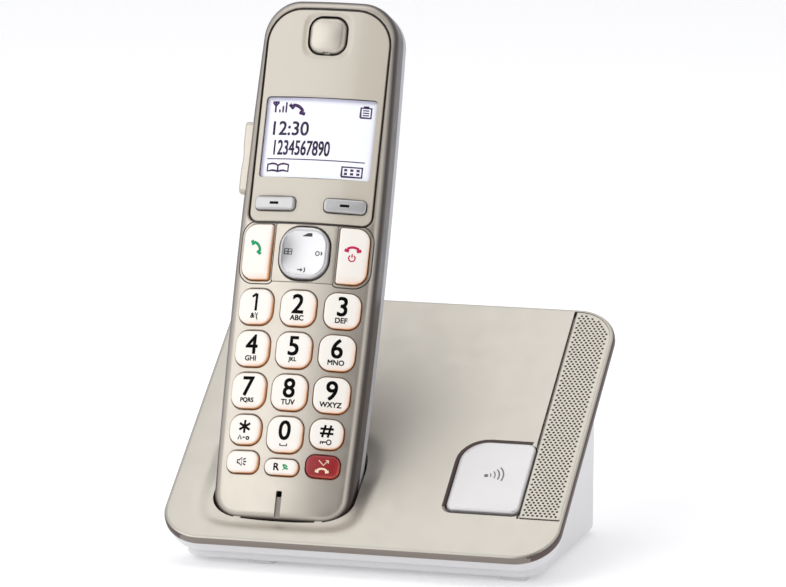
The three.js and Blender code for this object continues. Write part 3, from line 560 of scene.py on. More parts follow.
window_low, window_high = in_handset("display_window")
WINDOW_WIDTH = window_high.x - window_low.x
WINDOW_HEIGHT = window_high.y - window_low.y
window_middle = Vector((0, (window_low.y + window_high.y) / 2, FACE_HEIGHT))
lcd_opening = plate(
    "lcd_opening", WINDOW_WIDTH - 3, WINDOW_HEIGHT - 3, (0.5,) * 4, *THROUGH, middle=window_middle
)
cap_low, cap_high = in_handset("earpiece_cap")
CAP_WIDTH = cap_high.x - cap_low.x
CAP_HEIGHT = cap_high.y - cap_low.y
CAP_CORNERS = (3.9,) * 4
cap_middle = Vector((0, (cap_low.y + cap_high.y) / 2, FACE_HEIGHT))
CAP_GAP = 0.7


def cap_hole():
    size = grown((CAP_WIDTH, CAP_HEIGHT), CAP_CORNERS, CAP_GAP)
    return plate("cap_hole", *size, *THROUGH, middle=cap_middle)


navigator_low, navigator_high = in_handset("navigator_key")
plate_low, plate_high = in_handset("navigator_plate")
NAVIGATOR = (navigator_high.x - navigator_low.x, navigator_high.y - navigator_low.y)
NAVIGATOR_CORNERS = (6.4,) * 4
NAVIGATOR_GAP = 0.6
PLATE_WIDTH = plate_high.x - plate_low.x
PLATE_HEIGHT = plate_high.y - plate_low.y
navigator_middle = Vector((0, (navigator_low.y + navigator_high.y) / 2, FACE_HEIGHT))
plate_hole = plate(
    "plate_hole", PLATE_WIDTH + 0.3, PLATE_HEIGHT + 0.3, (0.8,) * 4, *THROUGH,
    middle=navigator_middle,
)
cut(front, lcd_opening, cap_hole(), plate_hole)

# Every key's own axes: its middle, and z = 0 on its top, square to the face beneath it.
KEY_FLANGE = 0.5
SMALL_CORNERS = {"speakerphone_key": 2.7, "call_block_key": 2.7, "recall_key": 2.4}
SIDE_CORNERS = {"talk_key": (4.2, 0.7, 0.7, 4.2), "off_key": (0.7, 4.2, 4.2, 0.7)}
DIAL_CORNER = 3.9
SOFT_CORNER = 1.4
key_places = {}
key_sizes = {}
for joint in joints:
    if joint.endswith("_press") and joint != "page_key_press":
        key = joint[: -len("_press")]
        out = -joints[joint]
        key_axes = Matrix((UP.cross(out), UP, out)).transposed()
        low, high = reach(key_axes, key)
        middle = Vector(((low.x + high.x) / 2, (low.y + high.y) / 2, high.z))
        key_places[key] = placing(key_axes, middle)
        key_sizes[key] = high - low - Vector((2 * KEY_FLANGE, 2 * KEY_FLANGE, 0))


def key_corners(key):
    if key in SIDE_CORNERS:
        return SIDE_CORNERS[key]
    if key.startswith("softkey"):
        return (SOFT_CORNER,) * 4
    return (SMALL_CORNERS.get(key, DIAL_CORNER),) * 4


def key_opening(key, rise):
    """The hole round a key, in the handset's axes. The face lies its rise below the key's top."""
    tool = opening(*grown(key_sizes[key], key_corners(key), KEY_GAP))
    shift(tool, (0, 0, -rise))
    tool.data.transform(HANDSET.inverted() @ key_places[key])
    return tool


KEY_RISE = 1.1
SOFT_KEYS = ("softkey_left", "softkey_right")
for key in key_places:
    if key not in SOFT_KEYS:
        cut(front, key_opening(key, KEY_RISE))
for key in SOFT_KEYS:
    cut(front, key_opening(key, KEY_RISE + FASCIA_SINK))

RING_OUT = 1.5
RING_IN = 1.1
RING_DEPTH = 0.9
for key in SIDE_CORNERS:
    outer, inner = (
        plate("ring", *grown(key_sizes[key], key_corners(key), grow), -RING_DEPTH, 3)
        for grow in (RING_OUT, RING_IN)
    )
    cut(outer, inner)
    outer.data.transform(
        HANDSET.inverted() @ key_places[key] @ Matrix.Translation((0, 0, -KEY_RISE))
    )
    cut(front, outer)

# The microphone's slot runs from a small square hole down to the foot, and the volume key's
# slot lies in the left side.
SLOT_WIDTH = 1.9
SLOT_TOP = 9.8
SLOT_DEPTH = 0.7
slot = plate(
    "slot", SLOT_WIDTH, SLOT_TOP + 4, (0.1, 0.1, 0.5, 0.5), -SLOT_DEPTH, 4,
    middle=(0, (SLOT_TOP - 4) / 2, FACE_HEIGHT),
)
hole = plate("hole", SLOT_WIDTH, SLOT_WIDTH, (0.4,) * 4, -6, 4,
             middle=(0, SLOT_TOP - SLOT_WIDTH / 2, FACE_HEIGHT))
rocker_low, rocker_high = in_handset("volume_key")
rocker_size = rocker_high - rocker_low
rocker_middle = (rocker_low + rocker_high) / 2
ROCKER_CORNER = 1.6
turn_left = Matrix.Rotation(math.radians(-90), 4, "Y")
rocker_slot = plate(
    "rocker_slot", rocker_size.z + 0.7, rocker_size.y + 0.7, (ROCKER_CORNER,) * 4, -4, 4
)
rocker_slot.data.transform(Matrix.Translation(rocker_middle) @ turn_left)
cut(front, slot, hole, rocker_slot)
# Painted shade: the deeper a point lies below the face, the more dark umber it shows.
SHADE_START = 0.12
SHADE_REACH = 1.0
blended(front, lambda place: smooth_step(
    (FACE_HEIGHT - crown_drop(place.x) - place.z - SHADE_START) / SHADE_REACH))
fit(front, HANDSET, "handset", "champagne_case", CHAMPAGNE, replaced=["front_case"])

# ---- rear case ----
# The back shell is plain light grey ABS with a fully rounded edge. It holds the battery bay
# and takes two screws beside it.
REAR_DEPTH = handset_origin.z - reach(handset_axes, "rear_case")[0].z
BACK_EDGE = 8.0
DOOR_GAP = 0.3
door_low, door_high = in_handset("battery_door")
DOOR_CORNERS = (4.0,) * 4
GREY_ABS = surface(
    "moulded_grey_abs", 0xBBBBC0, 0.46, grain=0.7, mottle=0.02, depth=0.008, IOR=1.53
)
rear = barrel("handset_rear_case", 0, -REAR_DEPTH, -GAP, under=BACK_EDGE)
rear_hollow = barrel("rear_hollow", CASE_WALL, -REAR_DEPTH + CASE_WALL, 2, under=BACK_EDGE - 2)
cut(rear, rear_hollow)
door_size = door_high - door_low
door_middle = Vector((0, (door_low.y + door_high.y) / 2, 0))
cells_low, cells_high = reach(handset_axes, "battery_cell_1", "battery_cell_2")
cells_low -= handset_origin
cells_high -= handset_origin
bay_size = cells_high - cells_low + Vector((1.6, 6, 0))
bay_middle = Vector((0, (cells_low.y + cells_high.y) / 2, 0))
BAY_WALL = 1.0
bay_wall = plate(
    "bay_wall", bay_size.x + 2 * BAY_WALL, bay_size.y + 2 * BAY_WALL, (1.5,) * 4,
    -REAR_DEPTH + 1, cells_high.z + GAP + BAY_WALL, middle=bay_middle,
)
cut(rear, bay_wall, operation="UNION")
bay = plate("bay", bay_size.x, bay_size.y, (1.0,) * 4, -REAR_DEPTH - 2, cells_high.z + GAP,
            middle=bay_middle)
door_recess = plate(
    "door_recess", *grown(door_size, DOOR_CORNERS, DOOR_GAP), -REAR_DEPTH - 2, -REAR_DEPTH + 1.7,
    middle=door_middle,
)
cut(rear, bay, door_recess)


def sink_screw(piece, low, high, height, depth, sides):
    """Cuts a round well in a piece, for a screw that lies between two corners."""
    bpy.ops.mesh.primitive_cylinder_add(
        vertices=sides, radius=(high.x - low.x) / 2 + GAP, depth=depth,
        location=((low.x + high.x) / 2, (low.y + high.y) / 2, height),
    )
    well = named("screw_well")
    bpy.ops.object.transform_apply(location=True)
    cut(piece, well)


for screw in ("handset_screw_left", "handset_screw_right"):
    sink_screw(rear, *in_handset(screw), -REAR_DEPTH, 6, 40)
fit(rear, HANDSET, "handset", "grey_case", GREY_ABS, replaced=["rear_case"])

# ---- battery door ----
# A plate of the same grey ABS closes the bay, flush with the back around it. Three ribs near its
# upper end give a thumb hold.
door = plate(
    "battery_door_plate", door_size.x, door_size.y, DOOR_CORNERS, -REAR_DEPTH, -REAR_DEPTH + 1.4
)
round_edges(door, 0.5, 4, level_at(-REAR_DEPTH))
RIB_PITCH = 2.2
for i in range(3):
    rib = plate("rib", 12, 0.9, (0.4,) * 4, -REAR_DEPTH - 0.25, -REAR_DEPTH + 0.5,
                middle=(0, door_size.y / 2 - 7 - i * RIB_PITCH, 0))
    cut(door, rib, operation="UNION")
shift(door, door_middle)
fit(door, HANDSET, "battery_door", "grey_case", GREY_ABS, replaced=["battery_door"])

# ---- display fascia ----
# A glossy champagne plate lies just below the face. A shallow dish leads to the earpiece, and
# its edge round the display is chamfered.
DISH_WIDTH = 17.4
DISH_HEIGHT = 15.8
DISH_DEPTH = 0.65
FASCIA_GLOSS = surface(
    "gloss_champagne_lacquer", 0xC8C0B2, 0.2, grain=0.6, mottle=0.012, depth=0.0, sheer=0.02,
    Metallic=0.0, Coat_Weight=0.4, Coat_Roughness=0.05,
)
fascia = plate(
    "fascia_plate", FASCIA_WIDTH, FASCIA_LENGTH, FASCIA_CORNERS,
    FACE_HEIGHT - FASCIA_SINK - FASCIA_THICK, FACE_HEIGHT - FASCIA_SINK, steps=12,
)
fascia.data.transform(fascia_middle)
round_edges(fascia, 0.35, 4, level_at(FACE_HEIGHT - FASCIA_SINK))
slices(
    fascia, 1, cap_middle.y - DISH_HEIGHT / 2 - 1, cap_middle.y + DISH_HEIGHT / 2 + 0.5, 0.6
)
slices(fascia, 0, -DISH_WIDTH / 2 - 1, DISH_WIDTH / 2 + 1, 0.6)


def dished(place):
    """Lowers the fascia's upper side inside a rounded square round the earpiece."""
    x = abs(place.x) / (DISH_WIDTH / 2)
    y = abs(place.y - cap_middle.y) / (DISH_HEIGHT / 2)
    far = (x**4 + y**4) ** 0.25
    depth = DISH_DEPTH * smooth_step((1 - far) / 0.2)
    upper = place.z > FACE_HEIGHT - FASCIA_SINK - 0.3
    return place - Vector((0, 0, depth if upper else 0))


reshape(fascia, dished)
crowned(fascia)
window_hole = opening(WINDOW_WIDTH + 0.3, WINDOW_HEIGHT + 0.3, (1.3,) * 4, depth=3, flare=0.3)
shift(window_hole, window_middle - Vector((0, 0, FASCIA_SINK + 0.3)))
cut(fascia, window_hole, cap_hole())
for key in SOFT_KEYS:
    cut(fascia, key_opening(key, KEY_RISE + FASCIA_SINK))
fit(fascia, HANDSET, "handset", "gloss_fascia", FASCIA_GLOSS, replaced=["display_fascia"])

# ---- display ----
# A clear acrylic window covers the liquid crystal display. Its pale polarising film shows a
# time, the digits and five generic signs in dark violet. The film has a faint painted glow, and a
# lavender painted shadow of the frame along its left, top and right edges.
FILM_DEPTH = FASCIA_SINK + FASCIA_THICK + 0.12
WINDOW_SINK = 0.45
clear = surface(
    "clear_acrylic", 0xF6F7FB, 0.08, grain=2, mottle=0.0, depth=0.0, sheer=0.02,
    Alpha=0.02, Specular_IOR_Level=0.25,
)
pane = plate(
    "window_pane", WINDOW_WIDTH, WINDOW_HEIGHT, (1.2,) * 4,
    FACE_HEIGHT - FASCIA_SINK - FASCIA_THICK + 0.05, FACE_HEIGHT - WINDOW_SINK,
)
round_edges(pane, 0.15, 2, level_at(FACE_HEIGHT - WINDOW_SINK))
shift(pane, (0, window_middle.y, 0))
crowned(pane)
fit(pane, HANDSET, "handset", "clear_window", clear, replaced=["display_window"])

# Painted light: the film glows faintly, and a lavender painted shadow of the frame darkens its
# edges.
PAINTED_LIGHT_FILM = two_tone_and_painted_light("polarising_film_painted_glow_and_shade", 0xF2F4FA, 0xA9A7C0, 0.45,
                      Emission_Color=linear(0xEEF0FA), Emission_Strength=0.1)
FILM_SHADE_BORDER = 1.6
film = plate(
    "display_film", WINDOW_WIDTH - 0.2, WINDOW_HEIGHT - 0.2, (1.0,) * 4,
    FACE_HEIGHT - FILM_DEPTH - 0.1, FACE_HEIGHT - FILM_DEPTH,
)
grid(film, WINDOW_WIDTH, WINDOW_HEIGHT, 0.7)
blended(film, lambda place: 1 - smooth_step(
    (min(place.x + WINDOW_WIDTH / 2, WINDOW_HEIGHT / 2 - place.y,
         WINDOW_WIDTH / 2 - place.x + 0.7) - 0.3) / FILM_SHADE_BORDER))
shift(film, (0, window_middle.y, 0))
crowned(film)
fit(film, HANDSET, "handset", "lcd", PAINTED_LIGHT_FILM)


def joined(name, parts):
    """Several meshes as one piece."""
    only(parts[0])
    for part in parts[1:]:
        part.select_set(True)
    bpy.ops.object.join()
    return named(name)


def lettering(text, height, x, y, bold=0.06, squeeze=1.0):
    """Flat text of a given height, with its middle at x, y, thickened by four shifted copies."""
    bpy.ops.object.text_add()
    words = bpy.context.object
    words.data.body = text
    words.data.extrude = 0.012
    words.data.resolution_u = 5
    bpy.ops.object.convert(target="MESH")
    words = named("lettering")
    low, high = extent([v.co for v in words.data.vertices])
    scale = (height - 2 * bold) / (high.y - low.y)
    shift(words, -(low + high) / 2)
    words.data.transform(Matrix.Diagonal((scale * squeeze, scale, 1, 1)))
    copies = []
    for dx, dy in ((-1, -1), (1, -1), (-1, 1), (1, 1)):
        only(words)
        bpy.ops.object.duplicate()
        copy = bpy.context.object
        shift(copy, (x + dx * bold, y + dy * bold, 0))
        copies.append(copy)
    bpy.data.objects.remove(words)
    return joined("lettering", copies)


def line_work(lines, x=0.0, y=0.0, turn=0.0):
    """Flat rounded strokes: each is a width and the points that it runs through."""
    curve = bpy.data.curves.new("line_work", "CURVE")
    curve.dimensions = "3D"
    curve.bevel_depth = 0.5
    curve.bevel_resolution = 2
    curve.use_fill_caps = True
    for width, points in lines:
        spline = curve.splines.new("POLY")
        spline.points.add(len(points) - 1)
        for spot, (px, py) in zip(spline.points, points):
            spot.co = (px, py, 0, 1)
            spot.radius = width
    drawn = bpy.data.objects.new("line_work", curve)
    bpy.context.collection.objects.link(drawn)
    only(drawn)
    bpy.ops.object.convert(target="MESH")
    drawn = bpy.context.object
    flat = Matrix.Diagonal((1, 1, 0.06, 1))
    drawn.data.transform(Matrix.Translation((x, y, 0)) @ Matrix.Rotation(turn, 4, "Z") @ flat)
    return drawn


def strokes(width, *runs):
    """Strokes of one width, for line_work."""
    return [(width, run) for run in runs]


def arc(radius, start, end, x=0.0, y=0.0, steps=12):
    """Points round part of a circle, from one angle to another in degrees."""
    angles = [math.radians(start + (end - start) * i / steps) for i in range(steps + 1)]
    return [(x + radius * math.cos(a), y + radius * math.sin(a)) for a in angles]


def box_line(width, height, x=0.0, y=0.0):
    """The points of a closed rectangle."""
    w, h = width / 2, height / 2
    return [(x - w, y - h), (x + w, y - h), (x + w, y + h), (x - w, y + h), (x - w, y - h)]


def receiver(length, thick):
    """A telephone receiver, lying with its ends down."""
    bow = length * 0.62
    grip = arc(bow, 128, 52, 0, -bow * 0.78)
    ends = [[grip[0], (grip[0][0] - 0.05 * length, grip[0][1] - 0.2 * length)],
            [grip[-1], (grip[-1][0] + 0.05 * length, grip[-1][1] - 0.2 * length)]]
    return strokes(thick * 0.85, grip) + strokes(thick * 1.6, *ends)


SIGN = 0.66
aerial = strokes(SIGN, [(-15.4, 8.2), (-15.4, 11.6)], [(-16.5, 11.6), (-14.3, 11.6)],
                 [(-16.4, 11.5), (-15.4, 10.2), (-14.4, 11.5)])
bars = strokes(0.6, *([(-13.9 + 1.1 * i, 8.2), (-13.9 + 1.1 * i, 9.2 + 1.2 * i)]
                      for i in range(3)))
battery = strokes(SIGN, box_line(3.4, 3.2, 15.0, 9.2))
battery += strokes(0.7, [(14.1, 11.15), (15.9, 11.15)])
battery += strokes(0.4, *([(14.0, 8.4 + 0.8 * i), (16.0, 8.4 + 0.8 * i)] for i in range(3)))
PAGE = ((0, -1.2), (0, 0.8), (0.9, 1.3), (2.0, 1.45), (3.6, 1.1),
        (3.6, -1.1), (2.0, -0.8), (0.9, -0.9), (0, -1.2))
book = strokes(SIGN, *([(way * x, y) for x, y in PAGE] for way in (-1, 1)))
pad = strokes(SIGN, box_line(6.6, 3.2))
pad += strokes(0.8, *([(-2.5 + 2.0 * i, y), (-1.5 + 2.0 * i, y)]
                      for i in range(3) for y in (-0.6, 0.6)))
shown = [
    line_work(aerial + bars + battery + [(0.35, [(-16.6, -7.2), (16.3, -7.2)])]),
    line_work(receiver(5.4, 1.3), -7.7, 9.6, math.radians(-30)),
    line_work(book, -12.5, -10.2),
    line_work(pad, 12.4, -10.6),
    lettering("12:30", 4.7, -9.4, 3.0, bold=0.1, squeeze=0.95),
    lettering("1234567890", 5.0, -5.1, -3.4, bold=0.1, squeeze=0.58),
]
signs = joined("display_signs", shown)
slices(signs, 0, -17.5, 17.5, 1.2)
shift(signs, window_middle - Vector((0, 0, FILM_DEPTH - 0.02)))
crowned(signs)
LCD_INK = surface("liquid_crystal_violet", 0x38104F, 0.6, grain=0.6, mottle=0.05, depth=0.0,
                  Specular_IOR_Level=0.1)
fit(signs, HANDSET, "handset", "lcd", LCD_INK)

# ---- earpiece cap ----
# A satin painted cap with a low dome stands in the dish. A dark gap runs all round it, and its
# lower edge has a small notch.
CAP_PAINT = surface(
    "satin_cap_paint", 0xC0BAAF, 0.38, grain=0.5, mottle=0.03, depth=0.004, Metallic=0.7
)
CAP_TOP = cap_high.z
CAP_DOME = 0.75
cap = plate(
    "earpiece_cap_dome", CAP_WIDTH, CAP_HEIGHT, CAP_CORNERS, cap_low.z, CAP_TOP - CAP_DOME
)
round_edges(cap, 1.2, 7, level_at(CAP_TOP - CAP_DOME))
grid(cap, CAP_WIDTH, CAP_HEIGHT, 1)


def domed(width, height, rise, base):
    """A rule that lifts what lies above a base into a low dome."""

    def rule(place):
        if place.z < base:
            return place.copy()
        x = min(1, abs(2 * place.x / width))
        y = min(1, abs(2 * place.y / height))
        return place + Vector((0, 0, rise * (1 - x * x) * (1 - y * y)))

    return rule


reshape(cap, domed(CAP_WIDTH, CAP_HEIGHT, CAP_DOME, CAP_TOP - CAP_DOME - 0.4))
notch = plate("notch", 2.2, 0.8, (0.2,) * 4, CAP_TOP - 2.5, CAP_TOP + 1,
              middle=(0, -CAP_HEIGHT / 2, 0))
cut(cap, notch)
shift(cap, (0, cap_middle.y, 0))
fit(cap, HANDSET, "handset", "champagne_cap", CAP_PAINT, replaced=["earpiece_cap"])

# ---- keys ----
# Each key is moulded in amber clear plastic under a warm white skin, and its amber shows at its
# edges. Painted light makes the amber strongest at the lower right edge and faint at the upper
# left.
# Black signs are printed on top, and a flange holds it behind the face.
KEY_DOME = 0.22
KEY_EDGE = 0.55
FLANGE = 0.8
KEY_SLICE = 0.9


def key_cap(name, size, corners, edge=KEY_EDGE, dome=KEY_DOME):
    """A key with z = 0 at the middle of its top."""
    width, height, depth = size
    flange_top = -depth + FLANGE
    cap = plate(name, width, height, corners, flange_top, -dome, steps=7)
    pick(cap, "FACE", lambda place, facing: facing.z < -0.9)
    extrude(0)
    wider = 1 + 2 * KEY_FLANGE / width
    taller = 1 + 2 * KEY_FLANGE / height
    bpy.ops.transform.resize(value=(wider, taller, 1))
    extrude(-FLANGE)
    mode("OBJECT")
    round_edges(cap, edge, 5, level_at(-dome))
    grid(cap, width, height, KEY_SLICE)
    reshape(cap, domed(width, height, dome, -dome - 0.02))
    return cap


def amber_edge_and_painted_glow(size):
    """How amber each point looks: the amber walls below the top, weighted as painted light, most at
    the lower right edge and least at the upper left.
    """
    width, height, _ = size

    def rule(place):
        x, y, z = place
        lower_right = 0.3 + 0.5 * (x / width * 2) - 0.5 * (y / height * 2)
        rim = smooth_step((-z - 0.2) / 0.5)
        near = max(abs(2 * x / width), abs(2 * y / height))
        blush = 0.35 * smooth_step((near - 0.68) / 0.3)
        return (rim + blush) * min(1, max(0.06, lower_right))

    return rule


COAT = {"Coat_Weight": 0.25, "Coat_Roughness": 0.15}
# The amber second colour is partly the keys' real edge colour and partly painted glow.
WHITE_KEY = two_tone_and_painted_light("white_over_amber_abs_painted_glow", 0xF5F0E8, 0xE9A670, **COAT)
RED_KEY = two_tone_and_painted_light("red_over_coral_abs_painted_glow", 0x94161F, 0xD45A44, **COAT)
SOFT_GREY = surface(
    "grey_metallic_paint", 0xB9B8B8, 0.34, grain=0.5, mottle=0.03, depth=0.003, Metallic=0.5
)


def pad_print(name, tone, mottle=0.05, roughness=0.42, **shader):
    return surface(name, tone, roughness, grain=0.5, mottle=mottle, depth=0.0, **shader)


BLACK_INK = pad_print("black_pad_print", 0x0C0B0D, 0.1, Specular_IOR_Level=0.05)
GREEN_INK = pad_print("green_pad_print", 0x009A62, Specular_IOR_Level=0.2)
MAGENTA_INK = pad_print("magenta_pad_print", 0xC31F57, Specular_IOR_Level=0.2)
CREAM_INK = pad_print("cream_pad_print", 0xF3DFC0)

DIGIT_HEIGHT = 6.4
LETTER_HEIGHT = 1.75
LETTERS = {"1": "&'(", "2": "ABC", "3": "DEF", "4": "GHI", "5": "JKL", "6": "MNO",
           "7": "PQRS", "8": "TUV", "9": "WXYZ"}


def digit(text):
    if text == "1":
        return line_work(
            strokes(0.85, [(0.35, -1.45), (0.35, 4.15)]) + strokes(0.8, [(-1.2, 3.1), (0.2, 4.15)])
        )
    return lettering(text, DIGIT_HEIGHT, 0, 1.35, bold=0.13, squeeze=0.96)


def printed(key, *prints):
    """Prints on a key: pairs of ink and marks. They lie on its dome and move with it."""
    width, height, _ = key_sizes[key]
    for i, (ink, marks) in enumerate(prints):
        sheet = joined(f"{key}_print_{i + 1}", marks)
        grid(sheet, width, height, KEY_SLICE)
        rule = domed(width, height, KEY_DOME, -1)
        reshape(sheet, lambda place: rule(place) - Vector((0, 0, KEY_DOME - 0.035)))
        fit(sheet, key_places[key], key, "black_plastic", ink)


def star(size, width):
    """Three crossed strokes."""
    ends = [math.radians(a) for a in (90, 30, 150)]
    return strokes(width, *([(-size * math.cos(a), -size * math.sin(a)),
                             (size * math.cos(a), size * math.sin(a))] for a in ends))


HASH = strokes(0.72, *([(-1.3 + dx, -2.0), (-0.5 + dx, 2.0)] for dx in (0, 1.8)),
               *([(-2.1, y), (2.2, y)] for y in (-0.75, 0.75)))
SPACE_SIGN = strokes(0.4, [(-1.1, 0.35), (-1.1, -0.35), (1.1, -0.35), (1.1, 0.35)])
KEY_SIGN = strokes(0.36, arc(0.75, 0, 360, 1.0, 0), [(-1.7, 0), (-1.7, -0.7)],
                   [(-1.0, 0), (-1.0, -0.6)]) + strokes(0.42, [(0.3, 0), (-1.8, 0)])
CASE_SIGN = strokes(0.4, [(-2.0, -0.7), (-1.4, 0.7), (-0.8, -0.7)], [(-0.4, 0), (0.4, 0)],
                    arc(0.45, 0, 360, 1.3, -0.2), [(1.75, 0.25), (1.75, -0.65)])
LOUD_SIGN = strokes(
    0.42,
    [(-1.5, -0.5), (-1.5, 0.5), (-0.9, 0.5), (0, 1.3), (0, -1.3), (-0.9, -0.5), (-1.5, -0.5)],
    [(0.6, 0), (1.6, 0)], [(0.5, 0.6), (1.3, 1.1)], [(0.5, -0.6), (1.3, -1.1)],
)
POWER_SIGN = strokes(0.42, arc(1.05, 125, 415), [(0, 0.2), (0, 1.4)])
LEAF_SIGN = strokes(0.5, arc(1.1, 20, 110, -0.9, -0.4) + arc(1.1, 200, 290, 0.1, 0.6))
LEAF_SIGN += strokes(0.28, [(-1.2, -0.9), (0.2, 0.3)])
ARROW_SIGN = strokes(0.3, [(-1.5, 1.3), (0.1, -0.2), (1.6, 1.4)],
                     [(0.7, 1.4), (1.6, 1.4), (1.6, 0.5)])


def make_key(key, *prints):
    """A key with painted glow at its lower right edge, and what is printed on it."""
    cap = key_cap(f"{key}_cap", key_sizes[key], key_corners(key))
    blended(cap, amber_edge_and_painted_glow(key_sizes[key]))
    red = key == "call_block_key"
    fit(cap, key_places[key], key, "key_red" if red else "key_white",
        RED_KEY if red else WHITE_KEY, replaced=[key])
    printed(key, *prints)


for text, letters in LETTERS.items():
    height = 2.3 if text == "1" else LETTER_HEIGHT
    make_key(f"key_{text}", (BLACK_INK, [digit(text), lettering(letters, height, 0, -3.2)]))
make_key("key_0", (BLACK_INK, [digit("0"), line_work(SPACE_SIGN, 0, -3.3)]))
make_key("key_star", (BLACK_INK, [line_work(star(2.1, 0.75), 0, 0.9),
                                  line_work(CASE_SIGN, 0, -2.6)]))
make_key("key_hash", (BLACK_INK, [line_work(HASH, 0, 0.9), line_work(KEY_SIGN, 0, -2.6)]))
make_key("speakerphone_key", (BLACK_INK, [line_work(LOUD_SIGN)]))
make_key("recall_key", (BLACK_INK, [lettering("R", 2.4, -1.5, 0, bold=0.08)]),
         (GREEN_INK, [line_work(LEAF_SIGN, 1.9, 0)]))
make_key("call_block_key", (CREAM_INK, [line_work(receiver(4.0, 0.75), 0, -1.3),
                                        line_work(ARROW_SIGN, 0.2, 0.6)]))
make_key("talk_key", (GREEN_INK, [line_work(receiver(5.0, 1.05), 0.1, 1.6, math.radians(-52))]))
make_key("off_key", (MAGENTA_INK, [line_work(receiver(4.9, 0.95), -0.2, 2.2),
                                   line_work(POWER_SIGN, -0.3, -0.7)]))

# ---- soft keys ----
# Two keys in grey metallic paint stand below the display, in openings of the fascia. Each has a
# printed dash.
DASH = strokes(0.85, [(-1.5, 0), (1.5, 0)])
for key in SOFT_KEYS:
    cap = key_cap(f"{key}_cap", key_sizes[key], key_corners(key), edge=0.5, dome=0.18)
    fit(cap, key_places[key], key, "soft_key_grey", SOFT_GREY, replaced=[key])
    printed(key, (BLACK_INK, [line_work(DASH)]))

# ---- navigator ----
# A pearl rocker key, slightly dished, stands in a flush painted plate. Four grey signs are
# printed near its edges.
PEARL = surface(
    "pearl_lacquer", 0xCAC9CB, 0.26, grain=0.5, mottle=0.008, depth=0.0, sheer=0.015,
    Metallic=0.55, Coat_Weight=0.4, Coat_Roughness=0.1,
)
nav_plate = plate(
    "navigator_surround", PLATE_WIDTH, PLATE_HEIGHT, (0.7,) * 4,
    FACE_HEIGHT - CASE_WALL, FACE_HEIGHT - 0.08,
)
round_edges(nav_plate, 0.2, 3, level_at(FACE_HEIGHT - 0.08))
shift(nav_plate, (0, navigator_middle.y, 0))
crowned(nav_plate)
nav_hole = opening(
    *grown(NAVIGATOR, NAVIGATOR_CORNERS, NAVIGATOR_GAP), depth=4, flare=0.3
)
shift(nav_hole, navigator_middle - Vector((0, 0, 0.1)))
cut(nav_plate, nav_hole)
fit(nav_plate, HANDSET, "handset", "champagne_case", CHAMPAGNE, replaced=["navigator_plate"])

NAVIGATOR_DOME = -0.85
nav_top = navigator_high.z
nav = plate(
    "navigator_rocker", *NAVIGATOR, NAVIGATOR_CORNERS, FACE_HEIGHT - CASE_WALL, nav_top, steps=14
)
round_edges(nav, 1.0, 7, level_at(nav_top))
grid(nav, *NAVIGATOR, 0.8)
reshape(nav, domed(*NAVIGATOR, NAVIGATOR_DOME, nav_top - 0.02))
shift(nav, (0, navigator_middle.y, 0))
fit(nav, HANDSET, "navigator_key", "key_pearl", PEARL, replaced=["navigator_key"])

wedge = [(0.1 + 0.14 * i, [(-1.4 + 0.28 * i, -0.5), (-1.4 + 0.28 * i, -0.5 + 0.11 * i)])
         for i in range(11)]
BOOK_SIGN = strokes(0.38, box_line(2.4, 1.7), [(0, -0.85), (0, 0.85)])
BOOK_SIGN += strokes(0.3, [(-1.2, 0), (1.2, 0)])
REDIAL_SIGN = strokes(0.36, arc(0.65, 0, 360, -0.5, 0)) + strokes(0.5, arc(0.4, -90, 90, 0.6, 0))
DOWN_SIGN = strokes(0.38, [(-1.3, 0), (0.3, 0)], [(-0.2, 0.5), (0.35, 0), (-0.2, -0.5)],
                    arc(1.3, -38, 38, -0.1, 0))
nav_signs = joined("navigator_print", [
    line_work(wedge, 0.2, 5.9),
    line_work(BOOK_SIGN, -5.2, 0.2),
    line_work(REDIAL_SIGN, 5.1, 0),
    line_work(DOWN_SIGN, -0.3, -5.6),
])
grid(nav_signs, *NAVIGATOR, 0.8)
reshape(nav_signs, domed(*NAVIGATOR, NAVIGATOR_DOME, -1))
shift(nav_signs, (0, navigator_middle.y, nav_top + 0.015))
DARK_INK = pad_print("grey_pad_print", 0x2C292E, 0.08, 0.4)
fit(nav_signs, HANDSET, "navigator_key", "black_plastic", DARK_INK)

# ---- volume key ----
# A narrow rocker in the case's champagne paint stands in the left side, with a dip at its middle
# that tells louder from quieter by touch.
rocker = plate(
    "volume_rocker", rocker_size.z, rocker_size.y, (ROCKER_CORNER,) * 4,
    -rocker_size.x / 2, rocker_size.x / 2,
)
round_edges(rocker, 0.7, 5, level_at(rocker_size.x / 2))
slices(rocker, 1, -rocker_size.y / 2, rocker_size.y / 2, 1.5)
ROCKER_DIP = 0.35
DIP_REACH = 3.0


def dipped(place):
    dip = ROCKER_DIP * math.exp(-(place.y / DIP_REACH) ** 2)
    return place - Vector((0, 0, dip if place.z > 0 else 0))


reshape(rocker, dipped)
rocker.data.transform(Matrix.Translation(rocker_middle) @ turn_left)
fit(rocker, HANDSET, "volume_key", "champagne_case", CHAMPAGNE, replaced=["volume_key"])

# ---- the base panel's own axes ----
# Pieces of the sloped panel are modelled in millimetres too: x from its middle, y up the slope
# from its front edge, z out of its surface.
panel_out = -joints["page_key_press"]
panel_axes = axes_of(ACROSS, panel_out.cross(ACROSS))
cover_low, cover_high = reach(panel_axes, "base_top_cover")
panel_origin = Vector(((cover_low.x + cover_high.x) / 2, cover_low.y, cover_high.z))
PANEL = placing(panel_axes, panel_origin)
PANEL_WIDTH = cover_high.x - cover_low.x
PANEL_LENGTH = cover_high.y - cover_low.y


def in_panel(node):
    low, high = reach(panel_axes, node)
    return low - panel_origin, high - panel_origin


